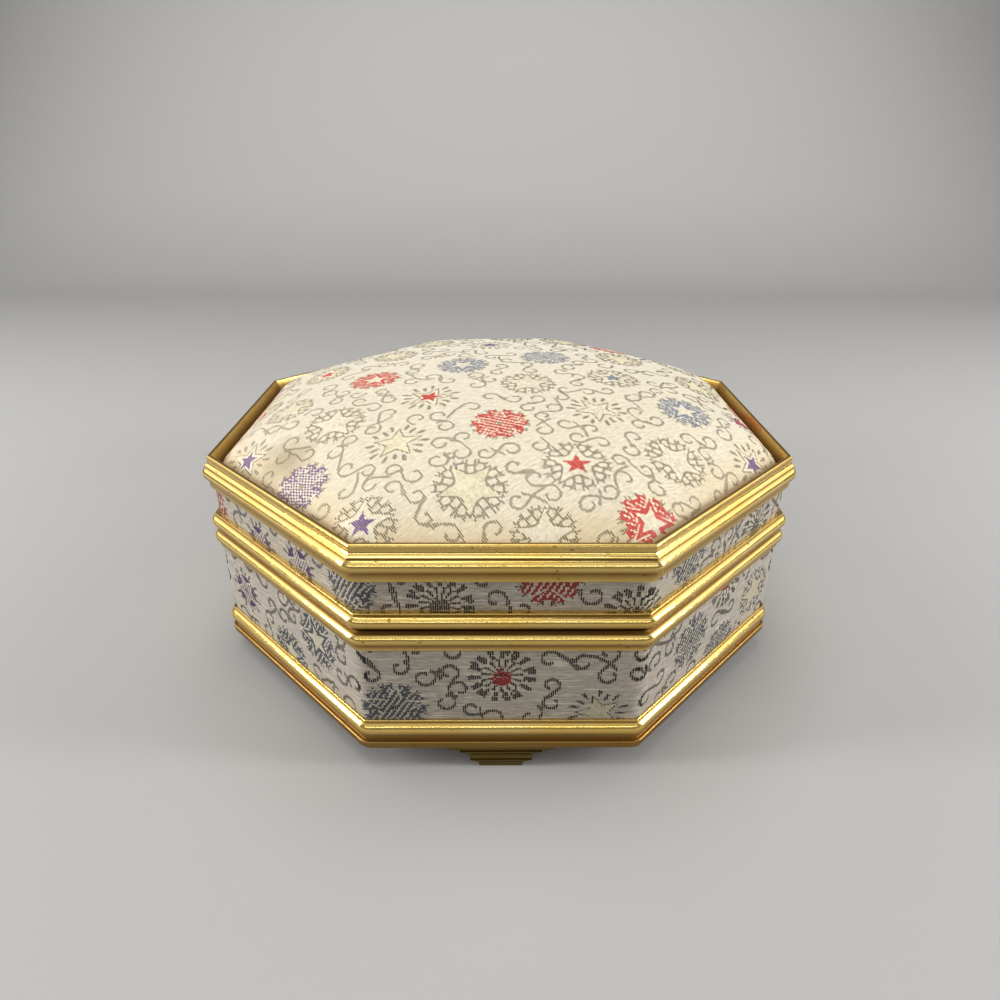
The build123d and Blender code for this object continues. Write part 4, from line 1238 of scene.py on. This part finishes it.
def seen_on_band(pixels, band):
    """Where pixels of the picture fall on a strip's flat sides in front, as lengths and heights on it."""
    lines = sight_lines(pixels)
    eye = np.array(CAMERA_PLACE) / MM
    found = []
    for line in lines:
        best = None
        for side in range(SIDES):
            facing = (SEAM_SIDE + side) * SIDE_ANGLE
            normal = np.array([math.cos(facing), math.sin(facing), 0])
            slope = line @ normal
            if slope >= 0:
                continue
            reach = (band.apothem - eye @ normal) / slope
            point = eye + reach * line
            across = -point[0] * math.sin(facing) + point[1] * math.cos(facing)
            if abs(across) < band.half + BAND_CORNER and (best is None or reach < best[0]):
                best = reach, side * band.period + band.half + across, point[2]
        found.append(best[1:])
    return np.array(found)


BASE_BAND = Band(BASE_FACE, node_level("base_bottom_frame", 1), node_level("base_top_rim", 0), BASE_SWELL)
LID_BAND = Band(LID_FACE, node_level("lid_bottom_rim", 1), node_level("lid_top_frame", 0), LID_SWELL)
# The bands' flowers that the picture shows: place in the picture, petals, star, heart, size and kind of petals
BASE_FLOWERS = (
    ((502, 675), 0, 0, RED, 1.0, BURST),
    ((395, 707), BLUE, BLUE, 0, 0.95, False),
    ((598, 712), 0, YELLOW, 0, 0.9, True),
    ((318, 640), BLUE, BLUE, CREAM, 0.95, False),
    ((690, 640), BLUE, BLUE, 0, 0.95, False),
    ((248, 590), PURPLE, PURPLE, 0, 0.9, True),
    ((752, 590), 0, YELLOW, 0, 0.9, False),
)
LID_FLOWERS = (
    ((440, 604), 0, 0, PETAL, 0.95, BURST),
    ((551, 576), RED, RED, 0, 0.95, False),
    ((690, 555), BLUE, BLUE, 0, 0.9, False),
    ((300, 566), PURPLE, PURPLE, 0, 0.9, True),
)


def band_weave(band, flowers, seed):
    """The strip's figure: the flowers that the picture shows, others set by chance all round, and curls."""
    weave = Weave((0, band.low), (band.length, band.high), BAND_DEPTH, BAND_FLOAT)
    draw = np.random.default_rng(seed)
    kinds = [flower[1:] for flower in flowers]
    trials = draw.uniform((0, band.low - 3), (band.length, band.high + 3), (BAND_TRIALS, 2))
    places = seen_on_band([flower[0] for flower in flowers], band)
    places, kinds = scatter(places, kinds, kinds, trials, BAND_GAP, band.length)
    for place, kind in zip(places, kinds):
        weave.flower(place, draw.uniform(0, POINT_ANGLE), *kind)
    weave.curls(seed + 1)
    return weave


# Velvet

PAD_CORNER = 3.0
# How much of a pad's thickness its rounded edge takes, at most how far, and how uneven its face is
PAD_EDGE_SHARE, PAD_EDGE_MOST, PAD_UNEVEN = 0.42, 1.6, 0.1
# The powers that make a padded board's section flat-faced, its ends draw in, and its gap to the next one
BOARD_THICK_POWER, BOARD_HIGH_POWER = 0.55, 0.16
BOARD_END_POWER, BOARD_END_ROOT = 14, 1 / 3
BOARD_GAP = 0.1


def velvet_pad(name, node, finish, body, low, thick, crown, upside_down=False):
    """A pad: out under its foot, up its rounded side and in over its crowned top. The side is half an ellipse,
    and the top rises by the crown times 1 less the square of the share of the way to its edge."""
    edge = min(thick * PAD_EDGE_SHARE, PAD_EDGE_MOST)
    flat = node_reach(node) - edge
    under = np.linspace(0.02, 0.96, 6)
    turn = np.linspace(-math.pi / 2, math.pi / 2, 11)[1:]
    over = np.cos(np.linspace(0.25, math.pi / 2, 16))
    apothems = np.concatenate([under * flat, flat + edge * np.cos(turn), over[1:] * flat])
    apothems = np.maximum(apothems, 0.02)
    heights = np.concatenate([0 * under, (1 + np.sin(turn)) * thick / 2,
                              thick + crown * (1 - (over[1:] / over[0]) ** 2)])
    rows = octagon_rows(apothems, np.minimum(PAD_CORNER, apothems * 0.5), heights, octagon_columns(16, 6))
    x, y, rise = np.moveaxis(rows, -1, 0)
    rise = rise + PAD_UNEVEN * np.sin(x * 0.16 + 1) * np.sin(y * 0.14 + 2) * np.clip(rise / thick, 0, 1)
    rows[..., 2] = low + thick - rise if upside_down else low + rise
    piece = skin(name, rows, poles=True)
    dress(piece, finish, body, [node])


def velvet_boards(name, node, finish, body, thick):
    """Eight padded boards. Each is a rounded section, drawn in towards its two ends, along its side."""
    low, high, outside = node_level(node, 0), node_level(node, 1), node_reach(node)
    loop = np.linspace(0, 2 * math.pi, 41)[:-1]
    run = np.sin(np.linspace(-math.pi / 2, math.pi / 2, 31))[:, None]
    tight = np.maximum((1 - np.abs(run) ** BOARD_END_POWER) ** BOARD_END_ROOT, 0.02)
    depth = np.sign(np.cos(loop)) * np.abs(np.cos(loop)) ** BOARD_THICK_POWER * thick / 2
    rise = np.sign(np.sin(loop)) * np.abs(np.sin(loop)) ** BOARD_HIGH_POWER * (high - low) / 2
    x = outside - thick / 2 + depth * tight
    y = np.broadcast_to(run * ((outside - thick) * HALF_TAN - BOARD_GAP), x.shape)
    z = (low + high) / 2 + rise * (1 - (1 - tight) * 0.12)
    points, faces, _ = skin_parts(np.stack([x, y, z], -1), poles=True)
    turns = np.arange(SIDES)[:, None] * SIDE_ANGLE
    x, y, z = points.T
    around = np.stack([x * np.cos(turns) - y * np.sin(turns), x * np.sin(turns) + y * np.cos(turns),
                       np.broadcast_to(z, (SIDES, len(z)))], -1)
    starts = np.arange(SIDES)[:, None, None] * len(points)
    piece = make_piece(name, around.reshape(-1, 3), [(starts + f).reshape(-1, f.shape[1]) for f in faces])
    dress(piece, finish, body, [node])


# Settings

def colour_property(name, default, description):
    return FloatVectorProperty(name=name, subtype="COLOR", size=3, min=0, max=1, default=default,
                               description=description)


class BrocadeClothSettings(bpy.types.PropertyGroup):
    """What a user may change on the brocade."""
    silk: colour_property("Silk", (0.84, 0.755, 0.575), "The satin ground of the padded top")
    # The bands' satin is the top's cloth, darkened as painted shade
    shaded_band_silk: colour_property("Band silk", (0.45, 0.4, 0.33), "The satin ground of the bands")
    outline: colour_property("Outline", (0.15, 0.115, 0.06), "The thread of the scrolls on the top")
    band_outline: colour_property("Band outline", (0.011, 0.008, 0.006), "The thread of the bands' scrolls")
    red: colour_property("Red", (0.56, 0.05, 0.035), "Red flower thread")
    blue: colour_property("Blue", (0.23, 0.245, 0.3), "Blue flower thread")
    purple: colour_property("Purple", (0.16, 0.075, 0.21), "Purple flower thread")
    cream: colour_property("Cream", (0.74, 0.67, 0.5), "Cream flower thread")
    yellow: colour_property("Yellow", (0.72, 0.645, 0.435), "Pale gold flower thread")
    thread_width: FloatProperty(name="Thread width", default=0.31, min=0.1, max=0.5,
                                description="The width of a woven float, in millimetres")
    seed: IntProperty(name="Seed", default=23, description="Sets the flowers that the bands have at the back")


class GiltSettings(bpy.types.PropertyGroup):
    """What a user may change on the metal."""
    colour: colour_property("Gilt", (0.92, 0.67, 0.23), "The colour of the gilt mouldings, feet and hinges")
    steel: colour_property("Steel", (0.55, 0.54, 0.52), "The colour of the screws and hinge pins")


class LiningSettings(bpy.types.PropertyGroup):
    """What a user may change inside and underneath."""
    velvet: colour_property("Velvet", (0.24, 0.012, 0.02), "The velvet of the linings and pads")
    felt: colour_property("Felt", (0.2, 0.02, 0.03), "The felt under the base")
    board: colour_property("Board", (0.48, 0.35, 0.22), "The casing boards")
    crown: FloatProperty(name="Pad crown", default=0.0005, min=0, max=0.002, unit="LENGTH",
                         subtype="DISTANCE", description="How far the floor pad swells in its middle")


class StageSettings(bpy.types.PropertyGroup):
    """What a user may change on the stage."""
    floor: colour_property("Floor", (0.43, 0.423, 0.41), "The floor")
    sweep: colour_property("Sweep", (0.8, 0.79, 0.77), "The paper where it curves up behind the floor")
    light: FloatProperty(name="Light", default=1.0, min=0, max=4, description="The level of all the lamps")
    ambient: FloatProperty(name="Ambient", default=0.06, min=0, max=2, description="Light from all around")
    backdrop: FloatProperty(name="Backdrop", default=0.32, min=0, max=1,
                            description="How pale the surroundings look, straight or in a reflection")


# Operators

# Where the two hinges are across the back, half the room that each needs, how deep it is cut, and the leaves
HINGE_PLACES, HINGE_ROOM = (-20.0, 20.0), 7.15
HINGE_FROM, HINGE_TO = 68.0, 76.5
LEAF_THICK = 0.45
# How far the closed seam, with its painted shadow, is above the base's rim, and how high the bottom moulding's
# step with painted shade is
SEAM_RISE, STEP_RISE = 0.3, 2.8


class BROCADE_OT_mouldings(bpy.types.Operator):
    """Makes the four gilt mouldings round the octagon"""
    bl_idname = "brocade.mouldings"
    bl_label = "Gilt mouldings"

    def execute(self, context):
        gilt = gilt_finish("gilt", tuple(context.scene.brocade_gilt.colour))
        rim, skirt = node_level("base_top_rim", 1), LID_BOTTOM.low

        def pockets(low, high):
            return [((x - HINGE_ROOM, HINGE_FROM, low), (x + HINGE_ROOM, HINGE_TO, high))
                    for x in HINGE_PLACES]

        moulding(BASE_BOTTOM, gilt, "base", step=BASE_BOTTOM.low + STEP_RISE)
        moulding(BASE_TOP, gilt, "base", pockets(rim - LEAF_THICK, rim + 1), rim + SEAM_RISE)
        moulding(LID_BOTTOM, gilt, "lid", pockets(skirt - 1, skirt + LEAF_THICK), rim + SEAM_RISE)
        moulding(LID_TOP, gilt, "lid")
        return {"FINISHED"}


# The top's tucked edge: how far it goes down below the frame, and how much longer the cloth is there
TUCK, TUCK_STRETCH = 0.9, (1.012, 1.03)
UNDER_SHARES = np.linspace(0.98, 0.02, 8)


class BROCADE_OT_top(bpy.types.Operator):
    """Makes the padded top of the lid in brocade, and its woven figure"""
    bl_idname = "brocade.top"
    bl_label = "Padded top"

    def execute(self, context):
        cloth = context.scene.brocade_cloth
        top_crown.simulate(context.scene)
        columns = octagon_columns(50, 14)
        shares = np.sin(np.linspace(0, math.pi / 2, 96))
        shares[0] = 0.004
        rows, flat = top_crown.grid(shares, columns)
        board = node_level("lid_dome_board", 0)
        skirt = np.repeat(rows[-1:], 2, 0)
        skirt[:, :, 2] = np.array([TOP_EDGE - TUCK, board])[:, None]
        skirt_flat = flat[-1:] * np.array(TUCK_STRETCH)[:, None, None]
        under = octagon_rows(top_crown.apothem * UNDER_SHARES, top_crown.radius(UNDER_SHARES),
                             np.full(len(UNDER_SHARES), board), columns)
        all_flat = np.concatenate([flat, skirt_flat, under[..., :2]])
        all_flat = np.concatenate([all_flat, all_flat[:, :1]], 1)
        ageing = np.concatenate([shares, [1, 1], 0 * UNDER_SHARES])[:, None] * np.ones(rows.shape[1])
        all_rows = np.concatenate([rows, skirt, under])
        piece = skin("lid_top_cushion", all_rows, all_flat, {"rim": ageing}, poles=True)
        finish = silk_finish("top_silk", tuple(cloth.silk), stain=True, turn=THREAD_ANGLE + math.pi / 2)
        dress(piece, finish, "lid", ["lid_dome_brocade", "lid_dome_padding"])
        colours = {OUTLINE: cloth.outline, RED: cloth.red, BLUE: cloth.blue, PURPLE: cloth.purple,
                   CREAM: cloth.cream, YELLOW: cloth.yellow, PETAL: cloth.outline}
        weave_threads("lid_top", top_weave(), top_place, on_top, colours, "lid")
        return {"FINISHED"}


class BROCADE_OT_bands(bpy.types.Operator):
    """Makes the two brocade bands round the casing, and their woven figure"""
    bl_idname = "brocade.bands"
    bl_label = "Brocade bands"

    def execute(self, context):
        cloth = context.scene.brocade_cloth
        # The bands' silk and their flower threads are the top's, darkened as painted shade
        finish = silk_finish("shaded_band_silk", tuple(cloth.shaded_band_silk), streaks=True)
        colours = {OUTLINE: cloth.band_outline, RED: shade(cloth.red, 0.4), BLUE: shade(cloth.blue, 0.25),
                   PURPLE: shade(cloth.purple, 0.4), CREAM: shade(cloth.cream, 0.62),
                   YELLOW: shade(cloth.yellow, 0.6), PETAL: cloth.band_outline}
        for body, band, flowers in (("base", BASE_BAND, BASE_FLOWERS), ("lid", LID_BAND, LID_FLOWERS)):
            name = body + "_band"
            band_piece(name, body + "_brocade", band, finish, body)
            weave = band_weave(band, flowers, cloth.seed)
            weave_threads(name, weave, band.thread_place, band.holds, colours, body, BAND_BOLD)
        return {"FINISHED"}


LINING_THICK, LID_LINING_THICK = 1.3, 0.8
# How much lower the pads are at their edges, as a share of their crown
PAD_DROP_SHARE = 0.4


class BROCADE_OT_lining(bpy.types.Operator):
    """Makes the velvet linings and pads inside the base and the lid"""
    bl_idname = "brocade.lining"
    bl_label = "Velvet lining"

    def execute(self, context):
        lining = context.scene.brocade_lining
        velvet = velvet_finish("velvet", tuple(lining.velvet))
        crown = lining.crown / MM
        drop = crown * PAD_DROP_SHARE
        for name, node, body, upside_down in (
            ("base_floor_cushion", "base_floor_pad", "base", False),
            ("lid_lining_cushion", "lid_lining_pad", "lid", True),
        ):
            low, thick = node_level(node, 0), node_level(node, 1) - node_level(node, 0) - drop
            velvet_pad(name, node, velvet, body, low + drop * upside_down, thick, crown, upside_down)
        velvet_boards("base_side_lining", "base_wall_lining", velvet, "base", LINING_THICK)
        velvet_boards("lid_side_lining", "lid_wall_lining", velvet, "lid", LID_LINING_THICK)
        return {"FINISHED"}


WADDING = 0.8, 0.78, 0.73
# How bright the fittings are against the mouldings' gilt, how dark the feet's gilt is painted as shade, and how
# much they are rubbed
FITTINGS_SHADE, FEET_PAINTED_SHADE, FITTINGS_RUB = 0.8, 0.2, 0.3


class BROCADE_OT_fittings(bpy.types.Operator):
    """Finishes the CAD pieces that keep their own shape: feet, hinges, screws, boards and felt"""
    bl_idname = "brocade.fittings"
    bl_label = "Feet, hinges and boards"

    def execute(self, context):
        metal, lining = context.scene.brocade_gilt, context.scene.brocade_lining
        gilt = gilt_finish("gilt_fittings", shade(metal.colour, FITTINGS_SHADE), FITTINGS_RUB)
        # The feet's gilt is darkened as painted shade
        shaded_feet_gilt = gilt_finish("shaded_feet_gilt", shade(metal.colour, FEET_PAINTED_SHADE), FITTINGS_RUB)
        steel = steel_finish("steel", tuple(metal.steel))
        board = board_finish("casing_board", tuple(lining.board))
        felt = felt_finish("felt", tuple(lining.felt))
        wadding = felt_finish("wadding", WADDING)
        finishes = {"foot_screws": steel, "foot_": shaded_feet_gilt, "hinge_pin": steel, "hinge_": gilt,
                    "base_underside": felt, "lid_dome_padding": wadding, "base_": board, "lid_": board}
        for name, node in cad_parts.items():
            finish = next(f for start, f in finishes.items() if name.startswith(start))
            for slot in node.material_slots:
                slot.material = finish
            if not node.material_slots:
                node.data.materials.append(finish)
        return {"FINISHED"}


# The floor, in millimetres: half its width, its near and far ends, where it begins to bend and in what length,
# and how high and how far back it bends
FLOOR_HALF, FLOOR_NEAR, FLOOR_FAR = 2500, -1500, 900
BEND_FROM, BEND_LENGTH, BEND_RISE, BEND_BACK = 500, 400, 1500, 200
SKY = 0.8, 0.8, 0.79
SENSOR_WIDTH = 36.0
# The lamps: place, aim, size across and up in metres, and power in watts
LOW_AIM = 0, 0, 0.04
LAMPS = (
    ("overhead", (-0.05, 0.04, 0.7), (0, 0, 0.05), (0.6, 0.4), 2.5),
    ("front", (0.0, -0.4, 0.52), LOW_AIM, (1.0, 0.26), 0.5),
    ("front strip", (0.0, -0.66, 0.36), LOW_AIM, (1.3, 0.045), 0.95),
    ("left sheet", (-0.6, 0.14, 0.4), LOW_AIM, (0.6, 0.5), 1.45),
    ("right sheet", (0.6, 0.14, 0.4), LOW_AIM, (0.6, 0.5), 1.45),
    ("left", (-0.6, -0.12, 0.2), LOW_AIM, (0.12, 0.3), 2.7),
    ("right", (0.6, -0.12, 0.2), LOW_AIM, (0.12, 0.3), 2.7),
)


def paper_floor(stage):
    """The plain floor, which curves up behind the box by the square of how far it has bent."""
    x, y = np.meshgrid(np.linspace(-1, 1, 25) * FLOOR_HALF, np.linspace(FLOOR_NEAR, FLOOR_FAR, 40))
    bend = np.clip((y - BEND_FROM) / BEND_LENGTH, 0, 1)
    points = np.stack([x, y + bend * BEND_BACK, BEND_RISE * bend**2], -1).reshape(-1, 3)
    index = np.arange(len(points)).reshape(x.shape)
    quads = np.stack([index[:-1, :-1], index[:-1, 1:], index[1:, 1:], index[1:, :-1]], -1).reshape(-1, 4)
    floor = make_piece("stage_floor", points, [quads], attributes={"sweep": bend.ravel()}, closed=False)
    f = Finish("stage_paper", Specular_IOR_Level=0.1)
    grain = f.noise(f.place(), 2.0, 3.0)
    paper = f.mix(f.attribute("sweep").between(0.0, 0.6), tuple(stage.floor), tuple(stage.sweep))
    f.colour(f.mix(grain * 0.06, paper, shade(stage.floor, 0.9)))
    f.roughness(0.85 + grain * 0.1)
    floor.data.materials.append(f.material)


def studio_light(scene, stage):
    """Light from all around, paler where it is seen in a reflection, and the lamps."""
    scene.world = bpy.data.worlds.new("studio")
    scene.world.use_nodes = True
    tree = scene.world.node_tree
    nodes = NodeSet(tree)
    rays = nodes.node("LightPath")
    seen = rays
    for ray in ("Is Glossy Ray", "Is Transmission Ray"):
        seen = seen.math("MAXIMUM", Socket(nodes, rays.output.node.outputs[ray]))
    sky = tree.nodes["Background"]
    nodes.put(sky.inputs["Color"], SKY)
    nodes.put(sky.inputs["Strength"], seen * (stage.backdrop - stage.ambient) + stage.ambient)
    for name, place, aim, (across, up), power in LAMPS:
        data = bpy.data.lights.new(name, "AREA")
        data.shape, data.size, data.size_y = "RECTANGLE", across, up
        data.energy = power * stage.light
        lamp = bpy.data.objects.new(name, data)
        scene.collection.objects.link(lamp)
        lamp.location = place
        lamp.visible_camera = False
        lamp.rotation_mode = "QUATERNION"
        lamp.rotation_quaternion = (Vector(aim) - Vector(place)).to_track_quat("-Z", "Y")


def photo_camera(scene):
    """The camera that took the picture."""
    data = bpy.data.cameras.new("camera")
    camera = bpy.data.objects.new("camera", data)
    scene.collection.objects.link(camera)
    data.sensor_width = SENSOR_WIDTH
    data.lens = CAMERA_FOCUS * data.sensor_width
    data.clip_start, data.clip_end = 0.01, 10.0
    right, up, forward = camera_axes()
    turn = Matrix((right, up, -forward)).transposed().to_4x4()
    camera.matrix_world = Matrix.Translation(CAMERA_PLACE) @ turn
    scene.camera = camera


class BROCADE_OT_stage(bpy.types.Operator):
    """Sets the floor, the lamps and the camera"""
    bl_idname = "brocade.stage"
    bl_label = "Stage"

    def execute(self, context):
        stage = context.scene.brocade_stage
        paper_floor(stage)
        studio_light(context.scene, stage)
        photo_camera(context.scene)
        context.scene.view_settings.view_transform = "Standard"
        return {"FINISHED"}


OPERATORS = (BROCADE_OT_mouldings, BROCADE_OT_top, BROCADE_OT_bands, BROCADE_OT_lining, BROCADE_OT_fittings,
             BROCADE_OT_stage)
SETTINGS = {"brocade_cloth": BrocadeClothSettings, "brocade_gilt": GiltSettings,
            "brocade_lining": LiningSettings, "brocade_stage": StageSettings}


class BROCADE_PT_panel(bpy.types.Panel):
    """The box's settings and its pieces"""
    bl_idname = "BROCADE_PT_panel"
    bl_label = "Brocade box"
    bl_space_type = "VIEW_3D"
    bl_region_type = "UI"
    bl_category = "Brocade box"

    def draw(self, context):
        for attribute, group in SETTINGS.items():
            column = self.layout.column()
            for name in group.__annotations__:
                column.prop(getattr(context.scene, attribute), name)
        for operator in OPERATORS:
            self.layout.operator(operator.bl_idname)


def register():
    for group in (*SETTINGS.values(), *OPERATORS, BROCADE_PT_panel):
        bpy.utils.register_class(group)
    for attribute, group in SETTINGS.items():
        setattr(bpy.types.Scene, attribute, PointerProperty(type=group))


def unregister():
    for attribute in SETTINGS:
        delattr(bpy.types.Scene, attribute)
    for group in (BROCADE_PT_panel, *reversed(OPERATORS), *SETTINGS.values()):
        bpy.utils.unregister_class(group)


def main():
    register()
    bpy.ops.brocade.mouldings()
    bpy.ops.brocade.top()
    bpy.ops.brocade.bands()
    bpy.ops.brocade.lining()
    bpy.ops.brocade.fittings()
    bpy.ops.brocade.stage()


if __name__ == "__main__":
    main()
